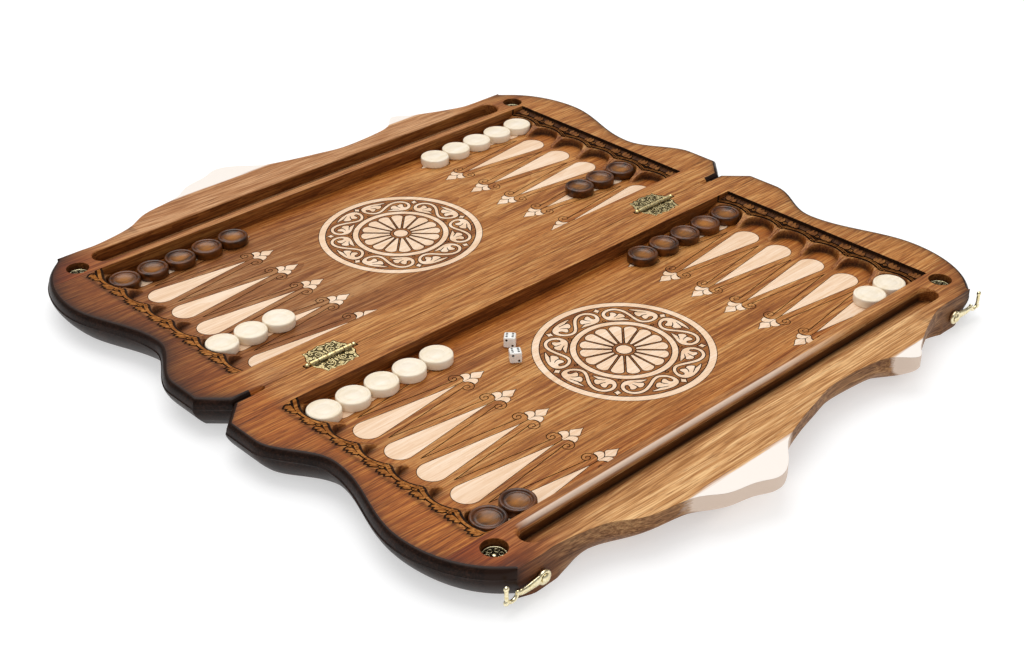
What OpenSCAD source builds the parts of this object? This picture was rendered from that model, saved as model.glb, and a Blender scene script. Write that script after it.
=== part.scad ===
// Folding backgammon board: two carved wooden halves on brass hinges, with swing hooks,
// checkers and dice. Millimetres. The hinge line runs along Y, the right half lies towards +X,
// the near end towards -Y, and the board lies open on z = 0.

/* [Board] */
// Thickness of each half
board_t = 30; // [27:0.5:40]
// Gap between the two halves along the seam
seam_gap = 0.4; // [0.3:0.1:1]
// Space left between the two halves when shut
shut_gap = 0.3; // [0.2:0.1:0.6]
// Width of the stave that carries the hinges
seam_rail = 30; // [29:0.5:40]

/* [Field] */
// Spacing of the points
pitch = 37; // [35:0.5:42]
// Strip of field beside the outermost points
field_margin = 0.5; // [0:0.5:4]
// Length of the field from the middle to its end wall
field_hl = 263; // [250:1:290]
// Depth of the field below the rim
recess = 14; // [12:0.5:18]
// Depth of the scalloped ledge below the rim
ledge_drop = 7; // [5:0.5:9]
// Width of the ledge between the end wall and a scallop
ledge_w = 10; // [7:0.5:14]
// Room between a checker and the scallop it sits in
scallop_clear = 1.4; // [0.6:0.1:1.6]
// Straight length of the nose between two scallops
nose_l = 2.8; // [1:0.1:5]

/* [Ends] */
// Widest wood beyond the field's end wall
end_rim = 46; // [40:0.5:60]
// How far the waist of the end dips
end_waist = 26; // [15:0.5:30]
// How far the outer crest stays below the seam corner
crest_drop = 3; // [0:0.5:6]
// Size of the diagonal cut at the seam corner
seam_cut = 22; // [16:0.5:22.5]
// Rise of the rounded outer corner
corner_rise = 66; // [50:1:75]
// Width of the bead along the end
bead_w = 4.5; // [3:0.5:6]
// Height of the bead
bead_h = 8.2; // [6:0.2:10]
// Width of the fine step below the bead
step_w = 0.8; // [0.4:0.1:1.2]
// Undercut of the lower band
under_w = 13; // [8:0.5:14]
// Length of the bead's run-out along the seam
runout_l = 30; // [28:1:40]

/* [Outer rail] */
// Thickness of the ridge between field and tray groove
ridge_w = 7; // [5:0.5:10]
// Width of the tray groove
groove_w = 25; // [18:0.5:27]
// Depth of the tray groove
groove_depth = 12; // [8:0.5:16]
// Distance from the groove's end to the line of the end wall
groove_inset = 18; // [14:0.5:26]
// Width of the wood outside the groove at the corners
lip_w = 9.5; // [8:0.5:16]
// Largest swell of the live edge
live_swell = 55.5; // [30:0.5:65]
// Undercut of the live edge
live_under = 8; // [0:0.5:10]
// Diameter of the corner wells
well_d = 20; // [16:0.5:22]
// Depth of the corner wells
well_depth = 7.5; // [5:0.5:10]
// Distance of the wells from the field's edge
well_in = 14.5; // [13:0.5:18]

/* [Inlays] */
// Radius of a point's round end
point_r = 12; // [9:0.1:13]
// Distance from the scallop's centre to the point's round end
point_in = 13.8; // [8:0.1:18]
// Distance of a point's tip from the middle of the board
point_tip = 136; // [130:1:150]
// Distance of the finial's tip from the middle of the board
finial_tip = 104.8; // [98:0.1:106]
// Length of the finial
finial_l = 22.6; // [16:0.1:26]
// Radius of the rosette
rosette_r = 75.7; // [60:0.1:80]
// Depth that the inlays go into the field
inlay_t = 2; // [1.5:0.1:4]
// Dark line around the inlays
inlay_gap = 0.3; // [0.1:0.05:0.5]
// Depth of the rosette's carved ground
carve_d = 0.8; // [0.4:0.1:1.2]
// Thickness of the medallions
medal_t = 1.6; // [1:0.1:3]

/* [Hinges] */
// Distance of each hinge from the middle of the board
hinge_y = 192; // [150:1:210]
// Length of the hinge barrel
barrel_l = 42; // [36:0.5:50]
// Diameter of the hinge barrel
barrel_d = 4.6; // [4.2:0.1:6]
// Diameter of the hinge pin
pin_d = 2.2; // [1.6:0.1:2.8]
// Diameter of the balls on the pin's ends
ball_d = 4.4; // [3:0.1:5]
// Width of a hinge leaf from the seam
leaf_w = 18.5; // [14:0.5:20]
// Thickness of a hinge leaf
leaf_t = 1.4; // [1.2:0.1:2]
// Diameter of the hinge screws' heads
screw_head_d = 3; // [2.4:0.1:3.6]
// Diameter of the hinge screws' shanks
screw_d = 1.6; // [1.2:0.1:2]
// Length of the hinge screws
screw_l = 7; // [5:0.5:10]

/* [Hooks] */
// Distance from each hook's pivot to the line of the end wall
hook_in = 18; // [11:0.5:23]
// Height of the hook's pivot above the table
hook_z = 12; // [9:0.5:16]
// Reach of the hook from its pivot to its mouth
hook_reach = 29.5; // [26:0.5:34]
// Thickness of the hook
hook_t = 3.5; // [2.5:0.1:5]
// Radius of the hook's eye
eye_r = 6; // [5:0.1:8]
// Thickness of the hook's curl around its mouth
curl_w = 3.2; // [2.5:0.1:4]
// Diameter of the pivot screw
pivot_d = 4; // [3:0.1:5]
// Diameter of the keeper stud
stud_d = 6; // [4:0.1:7]
// Room between the stud and the hook's mouth
mouth_clear = 0.5; // [0.3:0.1:1]
// Depth that the pivot screw and the stud go into the wood
shank_l = 10; // [8:0.5:12]

/* [Checkers and dice] */
// Diameter of a checker
checker_d = 28; // [24:0.5:30]
// Height of a checker
checker_h = 8; // [6:0.5:10]
// Gap between checkers standing on one point
checker_gap = 0.6; // [0.4:0.1:2]
// Edge of a die
die_a = 10; // [8:0.5:12]

/* [Hidden] */
$fn = 48;
eps = 0.02;
air = 0.3;
fit_r = 0.05;
rings = 16;
vines = 14;

field_w = 6 * pitch + 2 * field_margin;
x_field = seam_rail;
x_ridge = x_field + field_w;
x_groove = x_ridge + ridge_w + groove_w / 2;
side_x = x_ridge + ridge_w + groove_w + lip_w;
x_mid = x_field + field_w / 2;
well_x = x_ridge + well_in;
seam_x = seam_gap / 2;
field_z = board_t - recess;
ledge_z = board_t - ledge_drop;
axis_z = board_t + shut_gap / 2;
scallop_r = checker_d / 2 + scallop_clear;
scallop_y = field_hl - ledge_w - scallop_r;
nose_r = pitch / 2 - scallop_r;

end_flat = field_hl + end_rim;
end_low = end_flat - end_waist;
end_crest = end_flat - crest_drop;
flat_x = x_field + 0.65 * pitch;
waist_x = x_field + 2.33 * pitch;
crest_x = x_field + 5 * pitch;
corner_a = 1.1 * (side_x - crest_x);
corner_y = end_y(side_x);
bead_run = lip_w * 1.05;
step_h = step_w / 2;
low_z = board_t - bead_h - step_h;

leaf_top = board_t - 0.1;
leaf_z = leaf_top - leaf_t;
barrel_r = barrel_d / 2;
mortise_gap = 0.4;
knuckle_n = 5;
knuckle_gap = 0.2;
head_t = 0.6;

mouth_r = stud_d / 2 + mouth_clear;
mouth_lift = stud_d / 4;
hook_x = side_x + 2 * air;
hook_y = field_hl - hook_in;
hook_out = hook_x + hook_t;
keeper_y = hook_y - mouth_lift;
keeper_z = 2 * axis_z - hook_z - hook_reach;
dome_h = stud_d / 3;

// Live edge as share of the side's half length and share of the largest swell
live_edge = [
  [-1, 0], [-0.92, 0], [-0.84, 0], [-0.71, 0.13], [-0.61, 0.39], [-0.47, 0.53], [-0.385, 0.77],
  [-0.3, 0.87], [-0.23, 1], [-0.165, 0.89], [-0.08, 0.57], [0.02, 0.4], [0.12, 0.28],
  [0.23, 0.17], [0.37, 0.2], [0.47, 0.3], [0.54, 0.585], [0.6, 0.42], [0.7, 0.2],
  [0.8, 0.03], [0.86, 0], [0.92, 0], [1, 0]
];

// Columns of checkers: side, end, point counted from the seam, first number and count
white_stacks = [[-1, 1, 5, 1, 5], [-1, -1, 1, 6, 3], [1, -1, 0, 9, 5], [1, 1, 5, 14, 2]];
dark_stacks = [[-1, -1, 5, 1, 5], [-1, 1, 1, 6, 3], [1, 1, 0, 9, 5], [1, -1, 5, 14, 2]];

board_nodes = ["hinge_stave", "field_stave_inner", "field_stave_middle", "field_stave_outer",
  "live_edge_stave", "point_inlays", "rosette", "medallions", "hinge_leaves", "hinge_screws"];

function two_digits(k) = k < 10 ? str("0", k) : str(k);
function ease(t) = (1 - cos(180 * t)) / 2;
function mix(a, b, t) = a + (b - a) * t;
function clamp01(t) = min(1, max(0, t));

// Distance of the end's outline from the middle of the board at a given x
function end_y(x) =
  x < seam_cut ? end_flat - (seam_cut - x) :
  x < flat_x ? end_flat :
  x < waist_x ? mix(end_flat, end_low, ease((x - flat_x) / (waist_x - flat_x))) :
  x < crest_x ? mix(end_low, end_crest, ease((x - waist_x) / (crest_x - waist_x))) :
  end_crest - corner_rise * (1 - sqrt(max(0, 1 - pow((x - crest_x) / corner_a, 2))));

// Length along Y of one unit measured square to the end's outline
function end_push(x) = let (d = 0.05, s = (end_y(x + d) - end_y(x - d)) / (2 * d)) sqrt(1 + s * s);

// Smooth curve through four neighbouring points
function spline(a, b, c, d, t) =
  0.5 * (2 * b + (c - a) * t + (2 * a - 5 * b + 4 * c - d) * t * t
         + (3 * b - a - 3 * c + d) * t * t * t);

// Outline vertices are [x, y, bead direction x, y, lower band direction x, y]
function end_verts(xs, s) =
  [for (x = xs) let (k = s * end_push(x) * clamp01((side_x - x) / bead_run)) [x, s * end_y(x), 0, k, 0, k]];

// Vertices along the seam side, from the near end to the far one
function seam_verts() = let (y = end_y(seam_x), m = sqrt(2) - 1,
    far = concat(
      [for (f = [[1, 0], [0.976, 0.35], [0.933, 0.75], [0.833, 1]])
        [seam_x, y - runout_l * f[0], -f[1], 0, 0, 0]],
      [[seam_x, y, -1, m, 0, 1 + m], [seam_cut, end_flat, -m, 1, -m, 1]]))
  concat([for (v = flip(far)) [v[0], -v[1], v[2], -v[3], v[4], -v[5]]], far);

// Vertices along a straight joint at x, facing the vertices of the opposite side
function joint_verts(x, facing) = let (n = len(facing))
  [for (i = [0:n - 1]) i == 0 ? end_verts([x], -1)[0] : i == n - 1 ? end_verts([x], 1)[0]
    : [x, facing[i][1] * 0.85, 0, 0, 0, 0]];

// Vertices up the live edge, between the two outer corners
function live_verts() =
  [for (i = [0:len(live_edge) - 2]) for (t = [0, 0.34, 0.67]) if (i + t > 0)
    let (p = [for (k = [-1:2]) live_edge[max(0, min(len(live_edge) - 1, i + k))]],
         v = spline(p[0], p[1], p[2], p[3], t),
         w = clamp01((0.86 - abs(v[0])) / 0.12) * live_under / under_w)
    [side_x + live_swell * v[1], corner_y * v[0], 0, 0, w, 0]];

// Vertices around the outer rail, from the near end to the far one
function rail_verts() = let (far = end_verts(flip(steps(x_ridge, side_x, 10)), 1))
  concat([for (i = [9:-1:0]) let (v = far[i]) [v[0], -v[1], 0, -v[3], 0, -v[5]]], live_verts(),
    [for (i = [0:9]) far[i]]);

function steps(a, b, n) = [for (i = [0:n]) mix(a, b, i / n)];
function flip(list) = [for (i = [len(list) - 1:-1:0]) list[i]];

// Levels of the moulded edge from the top face down: height, bead push, lower band push
function edge_levels() = concat(
  [for (a = [0:30:90]) [board_t - bead_h * (1 - cos(a)), -bead_w * (1 - sin(a)), 0]],
  [[low_z, 0, step_w]],
  [for (t = [0.3, 0.6, 0.8, 1]) [low_z * (1 - t), 0, step_w - (step_w + under_w) * pow(t, 1.5)]]);

// Solid between two facing chains of vertices, the second one to the left of the first
module moulded_solid(first, second) {
  levels = edge_levels();
  verts = concat(first, flip(second));
  n = len(verts);
  h = len(first);
  b = (len(levels) - 1) * n;
  points = [for (l = levels) for (v = verts)
    [v[0] + v[2] * l[1] + v[4] * min(0, l[2]), v[1] + v[3] * l[1] + v[5] * l[2], l[0]]];
  sides = [for (k = [0:len(levels) - 2]) for (i = [0:n - 1])
    let (p = k * n + i, q = k * n + (i + 1) % n)
    each [[p, q, q + n], [p, q + n, p + n]]];
  top = [for (i = [0:h - 2]) each [[i, n - 1 - i, n - 2 - i], [i, n - 2 - i, i + 1]]];
  bottom = [for (f = top) [b + f[2], b + f[1], b + f[0]]];
  polyhedron(points, concat(sides, top, bottom), convexity = 8);
}

module on_side(s) {
  if (s < 0) mirror([1, 0, 0]) children();
  else children();
}

module both_ends() {
  children();
  mirror([0, 1, 0]) children();
}

// Geometry shared by pieces and the holes they sit in

function point_x(i) = x_field + field_margin + (i + 0.5) * pitch;

// Teardrop of one point with its round end outwards, grown by g
module point_shape(g) {
  c = scallop_y - point_in;
  r = point_r + g;
  b = asin(point_r / (c - point_tip));
  tip = c - r / sin(b);
  translate([0, c]) circle(r);
  polygon([[0, tip], [r * cos(b), c - r * sin(b)], [-r * cos(b), c - r * sin(b)]]);
}

// Lens-shaped petal between two points
module petal(p, q, w) {
  d = q - p;
  u = [-d[1], d[0]] / norm(d);
  polygon(concat(
    [for (t = [0:0.125:1]) p + d * t + u * w * sin(180 * pow(t, 0.8))],
    [for (t = [0.875:-0.125:0.125]) p + d * t - u * w * sin(180 * pow(t, 0.8))]));
}

// Right side of a finial from its tip to its foot, in shares of its length
finial_half = [[0.115, 0.21], [0.21, 0.39], [0.215, 0.48], [0.29, 0.53], [0.38, 0.64], [0.39, 0.745],
  [0.37, 0.82], [0.23, 0.82], [0.105, 0.895]];

// Closed outline with each corner pushed outwards by g
function pushed(p, g) = let (n = len(p)) [for (i = [0:n - 1])
  let (a = p[i] - p[(i + n - 1) % n], b = p[(i + 1) % n] - p[i], u = a / norm(a) + b / norm(b))
  p[i] + g * [u[1], -u[0]] / norm(u)];

// Spear with two side lobes at a point's inner end, grown by g
module finial_shape(g) {
  other = [for (p = finial_half) [-p[0], p[1]]];
  outline = concat([[0, 1]], flip(finial_half), [[0, 0]], other);
  polygon(pushed([for (p = flip(outline)) [p[0] * finial_l, finial_tip + p[1] * finial_l]], g));
}

module hinge_axis(l) {
  translate([0, l / 2, axis_z]) rotate([90, 0, 0]) linear_extrude(l) children();
}

// Half outline of a hinge leaf, grown by g
function leaf_pts(g) = let (h = barrel_l / 2, e = [
    [0.1, h * 0.97], [leaf_w * 0.36, h * 0.93], [leaf_w * 0.56, h * 0.8], [leaf_w * 0.92, h * 0.73],
    [leaf_w * 0.84, h * 0.54], [leaf_w * 0.95, h * 0.41], [leaf_w * 0.88, h * 0.29], [leaf_w, 0]])
  concat([for (p = e) p + [g, p[1] > 0 ? g : 0]], [for (p = flip(e)) if (p[1] > 0) [p[0] + g, -p[1] - g]]);

leaf_screws = [[0.42, 0.36], [0.42, -0.36], [0.75, 0]];

module at_leaf_screws(s) {
  for (e = [-1, 1]) for (p = leaf_screws)
    translate([leaf_w * p[0], e * hinge_y + e * s * barrel_l * p[1], 0]) children();
}

module at_wells() {
  for (e = [-1, 1]) translate([well_x, e * field_hl, 0]) children();
}

module at_side(y, z) {
  for (e = [-1, 1]) translate([side_x, e * y, z]) rotate([0, 90, 0]) children();
}

// Wooden staves, each running the full length of the board

module hinge_stave(s) {
  color("#8d5a30") on_side(s) difference() {
    moulded_solid(joint_verts(seam_rail, seam_verts()), seam_verts());
    for (e = [-1, 1]) translate([0, e * hinge_y, 0]) {
      translate([0, 0, leaf_z]) linear_extrude(board_t) polygon(leaf_pts(mortise_gap));
      hinge_axis(barrel_l + 2 * ball_d + 2) circle(barrel_r + 0.5);
    }
    at_leaf_screws(1) translate([0, 0, leaf_top - screw_l - air])
      cylinder(d = screw_d + 2 * fit_r, h = board_t);
  }
}

// Field area with its scallops at both ends
module field_shape() {
  difference() {
    union() {
      translate([x_field - 1, -scallop_y]) square([field_w + 2, 2 * scallop_y]);
      for (i = [0:5]) for (e = [-1, 1]) translate([point_x(i), e * scallop_y]) circle(scallop_r);
    }
    for (i = [0:6]) for (e = [-1, 1]) translate([point_x(i) - pitch / 2, e * (scallop_y - nose_l)]) {
      circle(nose_r);
      translate([-nose_r, e > 0 ? 0 : -nose_l - eps]) square([2 * nose_r, nose_l + eps]);
    }
  }
}

module field_stave(s, j) {
  xa = j == 0 ? x_field : point_x(2 * j) - pitch / 2;
  xb = j == 2 ? x_ridge : point_x(2 * j + 2) - pitch / 2;
  color("#9a6535") on_side(s) difference() {
    moulded_solid(end_verts(steps(xa, xb, 9), -1), end_verts(steps(xa, xb, 9), 1));
    translate([x_field - 1, -field_hl, ledge_z]) cube([field_w + 2, 2 * field_hl, board_t]);
    translate([0, 0, field_z]) linear_extrude(board_t) field_shape();
    for (i = [2 * j, 2 * j + 1]) both_ends() translate([point_x(i), 0, field_z - inlay_t]) {
      linear_extrude(recess) point_shape(inlay_gap);
      linear_extrude(recess) finial_shape(inlay_gap);
    }
    translate([x_mid, 0, field_z - inlay_t]) cylinder(r = rosette_r + inlay_gap, h = recess, $fn = 120);
  }
}

module live_edge_stave(s) {
  groove_hl = field_hl - groove_inset - groove_w / 2;
  color("#b8823f") on_side(s) difference() {
    moulded_solid(rail_verts(), joint_verts(x_ridge, rail_verts()));
    translate([x_groove, 0, board_t - groove_depth]) linear_extrude(board_t) {
      square([groove_w, 2 * groove_hl], center = true);
      for (e = [-1, 1]) translate([0, e * groove_hl]) circle(d = groove_w);
    }
    at_wells() translate([0, 0, board_t - well_depth]) cylinder(d = well_d, h = board_t);
    at_side(s > 0 ? hook_y : keeper_y, s > 0 ? hook_z : keeper_z)
      translate([0, 0, -shank_l - air]) cylinder(d = pivot_d + 2 * fit_r, h = board_t);
  }
}

// Inlays and medallions

module point_inlays(s) {
  color("#efcfa6") on_side(s)
    for (i = [0:5]) both_ends() translate([point_x(i), 0, field_z - inlay_t]) {
      linear_extrude(inlay_t) point_shape(0);
      linear_extrude(inlay_t) finial_shape(0);
    }
}

module ring(ro, ri) {
  difference() {
    circle(ro, $fn = 120);
    circle(ri, $fn = 120);
  }
}

// Raised pattern of the rosette: two rings, a wheel of petals and a band of vine scrolls
module rosette_pattern() {
  band = rosette_r * 0.75;
  curl = rosette_r * 0.125;
  ring(rosette_r, rosette_r * 0.925);
  ring(rosette_r * 0.58, rosette_r * 0.51);
  circle(rosette_r * 0.085);
  for (k = [0:rings - 1]) rotate((k + 0.5) * 360 / rings) scale(rosette_r)
    polygon([[0.13, -0.009], [0.43, -0.069], [0.48, -0.033], [0.48, 0.033], [0.43, 0.069], [0.13, 0.009]]);
  for (k = [0:vines - 1]) rotate((k + 0.5) * 360 / vines) translate([band, 0]) {
    ring(curl, curl * 0.83);
    rotate(k % 2 == 0 ? 60 : -60) petal([-curl * 0.74, 0], [curl * 0.74, 0], curl * 0.32);
  }
}

module rosette(s) {
  color("#efcfa6") on_side(s) translate([x_mid, 0, field_z - inlay_t]) {
    cylinder(r = rosette_r, h = inlay_t - carve_d, $fn = 120);
    linear_extrude(inlay_t) rosette_pattern();
  }
}

module medallions(s) {
  r = well_d / 2 - 0.2;
  color("#a88c4a") on_side(s) at_wells() translate([0, 0, board_t - well_depth]) {
    cylinder(r = r, h = medal_t - 0.6);
    linear_extrude(medal_t) ring(r, r - 1.2);
    linear_extrude(medal_t) circle(r * 0.2);
    for (k = [0:7]) rotate(k * 45) translate([r * 0.48, 0]) linear_extrude(medal_t) circle(r * 0.16);
  }
}

// Brass hinges, hooks and keepers

function knuckle_y(k) = (k - (knuckle_n - 1) / 2) * barrel_l / knuckle_n;
function knuckle_owner(k) = k % 2 == 0 ? 1 : -1;

module hinge_leaves(s) {
  kl = barrel_l / knuckle_n;
  color("#b59a5a") on_side(s) for (e = [-1, 1]) translate([0, e * hinge_y, 0]) difference() {
    union() {
      translate([0, 0, leaf_z]) linear_extrude(leaf_t) polygon(leaf_pts(0));
      for (k = [0:knuckle_n - 1]) if (knuckle_owner(k) == s)
        translate([0, knuckle_y(k), 0]) hinge_axis(kl - knuckle_gap) circle(barrel_r);
    }
    for (k = [0:knuckle_n - 1]) if (knuckle_owner(k) != s)
      translate([0, knuckle_y(k), 0]) hinge_axis(kl + knuckle_gap) circle(barrel_r + air);
    hinge_axis(barrel_l + 2) circle(pin_d / 2 + fit_r);
    translate([0, -e * hinge_y, 0]) at_leaf_screws(1) {
      translate([0, 0, leaf_z - 1]) cylinder(d = screw_d + 0.3, h = 2 * leaf_t + 1);
      translate([0, 0, leaf_top - head_t - 0.1]) cylinder(d = screw_head_d + 0.3, h = leaf_t);
    }
  }
}

module hinge_screws(s) {
  color("#8f7a45") on_side(s) at_leaf_screws(1) {
    translate([0, 0, leaf_top - screw_l]) cylinder(d = screw_d, h = screw_l - eps);
    translate([0, 0, leaf_top - head_t - 0.1]) cylinder(d = screw_head_d, h = head_t);
  }
}

module hinge_pins() {
  color("#c9b071") for (e = [-1, 1]) translate([0, e * hinge_y, 0]) {
    hinge_axis(barrel_l + ball_d) circle(pin_d / 2);
    both_ends() translate([0, barrel_l / 2 + air + ball_d / 2, axis_z]) sphere(d = ball_d);
  }
}

// Hook in its own plane: pivot at the origin, mouth open upwards, u outwards and v up
module hook_solid() {
  ro = mouth_r + curl_w;
  m = mouth_r + curl_w / 2;
  cylinder(r = eye_r, h = hook_t);
  linear_extrude(hook_t)
    polygon([[0, eye_r * 0.75], [hook_reach - ro, eye_r * 0.57], [hook_reach - mouth_r * 1.06, mouth_lift],
      [hook_reach - mouth_r * 0.83, mouth_lift - ro * 0.7], [hook_reach - ro, -ro * 0.65],
      [0, -eye_r * 0.8]]);
  translate([hook_reach, mouth_lift, 0]) {
    difference() {
      cylinder(r = ro, h = hook_t);
      translate([0, 0, -1]) cylinder(r = mouth_r, h = hook_t + 2);
      translate([-ro - 1, 0, -1]) cube([2 * ro + 2, ro + 1, hook_t + 2]);
    }
    translate([-m, 0, 0]) cylinder(r = curl_w / 2, h = hook_t);
    translate([mouth_r, -1, 0]) cube([curl_w, mouth_r * 2.3 + 1, hook_t]);
    translate([m, mouth_r * 2.3, 0]) cylinder(r = curl_w * 0.72, h = hook_t);
    translate([m, -ro * 0.55, 0]) cylinder(r = curl_w * 0.8, h = hook_t);
  }
}

module hook(e) {
  color("#b59a5a") translate([hook_x, e * hook_y, hook_z]) rotate([0, 90, 0]) difference() {
    rotate(90) mirror([e > 0 ? 0 : 1, 0, 0]) hook_solid();
    translate([0, 0, -1]) cylinder(d = pivot_d + 2 * fit_r, h = hook_t + 2);
  }
}

module near_hook() {
  hook(-1);
}

module far_hook() {
  hook(1);
}

// Pivot screw or stud along the outward direction: shank, collar on the wood and domed head
module side_fixing(body_d, head_d) {
  translate([0, 0, -shank_l]) cylinder(d = pivot_d, h = shank_l + eps);
  cylinder(d = max(body_d, pivot_d), h = hook_out - side_x + air);
  translate([0, 0, hook_out - side_x + air]) intersection() {
    cylinder(d = head_d, h = dome_h);
    translate([0, 0, dome_h - head_d * 0.75]) sphere(d = head_d * 1.5);
  }
}

module hook_screws() {
  color("#c9b071") at_side(hook_y, hook_z) side_fixing(pivot_d, pivot_d + 3.5);
}

module keeper_studs() {
  color("#b59a5a") on_side(-1) at_side(keeper_y, keeper_z) side_fixing(stud_d, stud_d + 2.4);
}

// Loose pieces

module checker(dish) {
  r = checker_d / 2;
  rotate_extrude($fn = 72) polygon([[0, 0], [r - 1, 0], [r, 1], [r, checker_h - 1.2], [r - 1.2, checker_h],
    [r - 3.2, checker_h], [r - 4.2, checker_h - dish], [0, checker_h - dish]]);
}

module in_stack(stacks, k) {
  for (c = stacks) if (k >= c[3] && k < c[3] + c[4])
    translate([c[0] * point_x(c[2]), c[1] * (scallop_y - (k - c[3]) * (checker_d + checker_gap)), field_z])
      children();
}

module white_checker(k) {
  color("#f3e6cc") in_stack(white_stacks, k) checker(0.4);
}

module dark_checker(k) {
  color("#5a3520") in_stack(dark_stacks, k) checker(1.4);
}

// Pips of one face as offsets in steps, for counts one to six
function pips(n) = concat(n % 2 == 1 ? [[0, 0]] : [], n > 1 ? [[-1, 1], [1, -1]] : [],
  n > 3 ? [[1, 1], [-1, -1]] : [], n > 5 ? [[-1, 0], [1, 0]] : []);

module die() {
  faces = [[0, 0, 0, 6], [180, 0, 0, 1], [90, 0, 0, 2], [-90, 0, 0, 5], [0, 90, 0, 3], [0, -90, 0, 4]];
  difference() {
    intersection() {
      cube(die_a, center = true);
      sphere(d = die_a * 1.5);
    }
    for (f = faces) rotate([f[0], f[1], f[2]]) for (p = pips(f[3]))
      translate([p[0] * die_a * 0.25, p[1] * die_a * 0.25, die_a / 2 - die_a * 0.04])
        cylinder(d = die_a * 0.2, h = 1, $fn = 16);
  }
}

// Die lying on the field, placed in columns and in steps of the spacing
module die_at(column, step, turn) {
  color("#f4f1ea") translate([point_x(column), step * pitch, field_z + die_a / 2]) rotate(turn) die();
}

module die_one() {
  die_at(0.62, -1.7, 42);
}

module die_two() {
  die_at(1.16, -2.05, 55);
}

for (s = [1, -1]) {
  half = s > 0 ? "right_" : "left_";
  hinge_stave(s);
  field_stave(s, 0);
  field_stave(s, 1);
  field_stave(s, 2);
  live_edge_stave(s);
  point_inlays(s);
  rosette(s);
  medallions(s);
  hinge_leaves(s);
  hinge_screws(s);
}
hinge_pins();
near_hook();
far_hook();
hook_screws();
keeper_studs();
for (k = [1:15]) {
  white_checker(k);
  dark_checker(k);
}
die_one();
die_two();
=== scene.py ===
"""Looks of a carved folding backgammon board, lying open with its checkers and dice.

Shapes are worked out in millimetres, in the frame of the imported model, and become metres when a mesh is written.
The hinge line runs along Y, the right half lies towards +X, and the near end towards -Y. The left half is the right
one mirrored across the hinge line.
"""

from __future__ import annotations

import logging
from collections.abc import Callable, Sequence
from dataclasses import dataclass, field, replace
from enum import Enum, IntEnum
from functools import cache, partial

import bpy
import numpy as np
from mathutils import Matrix
from mathutils.geometry import delaunay_2d_cdt


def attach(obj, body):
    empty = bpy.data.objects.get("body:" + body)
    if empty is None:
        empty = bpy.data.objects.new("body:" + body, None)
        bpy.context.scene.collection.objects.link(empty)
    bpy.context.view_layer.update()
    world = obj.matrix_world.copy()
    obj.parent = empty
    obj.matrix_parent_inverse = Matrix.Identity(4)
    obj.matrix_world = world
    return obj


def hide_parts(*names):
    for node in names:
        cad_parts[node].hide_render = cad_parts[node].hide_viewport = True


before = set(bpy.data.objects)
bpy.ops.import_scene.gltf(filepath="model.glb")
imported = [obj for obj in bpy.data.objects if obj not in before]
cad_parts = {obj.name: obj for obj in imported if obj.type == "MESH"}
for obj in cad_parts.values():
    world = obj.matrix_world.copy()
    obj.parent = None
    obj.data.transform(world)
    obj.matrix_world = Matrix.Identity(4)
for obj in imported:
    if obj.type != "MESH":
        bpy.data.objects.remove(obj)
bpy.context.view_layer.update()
LOG = logging.getLogger("backgammon_board")
MM = 0.001
Array = np.ndarray
Socket = bpy.types.NodeSocket
Path = tuple[tuple[float, float], ...]


class Half(Enum):
    """The two halves, with the sign of their side of the hinge line."""

    RIGHT = 1
    LEFT = -1

    @property
    def prefix(self) -> str:
        """Start of this half's node names."""
        return self.name.lower()

    @property
    def body(self) -> str:
        """Name of this half's moving body."""
        return f"{self.prefix}_half"


class Paint(IntEnum):
    """Material slots of a wooden stave."""

    FACE = 0
    MOULDING = 1
    WALL = 2
    LINE = 3
    GROUND = 4
    EDGE = 5
    LEAF = 6


# Finishes


def hex_linear(code: str) -> tuple[float, float, float, float]:
    """Turns an sRGB hex colour into linear RGBA.

    Args:
        code: Colour such as "#9A6535".

    Returns:
        Linear red, green and blue, and an alpha of 1.
    """
    srgb = np.array([int(code[i : i + 2], 16) for i in (1, 3, 5)]) / 255
    linear = np.where(srgb <= 0.04045, srgb / 12.92, ((srgb + 0.055) / 1.055) ** 2.4)
    return (*linear.tolist(), 1.0)


# A mix of two colours, and one that multiplies them as a stain does.
BLEND = {"out": 2, "data_type": "RGBA"}
TINT = {**BLEND, "blend_type": "MULTIPLY"}


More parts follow.
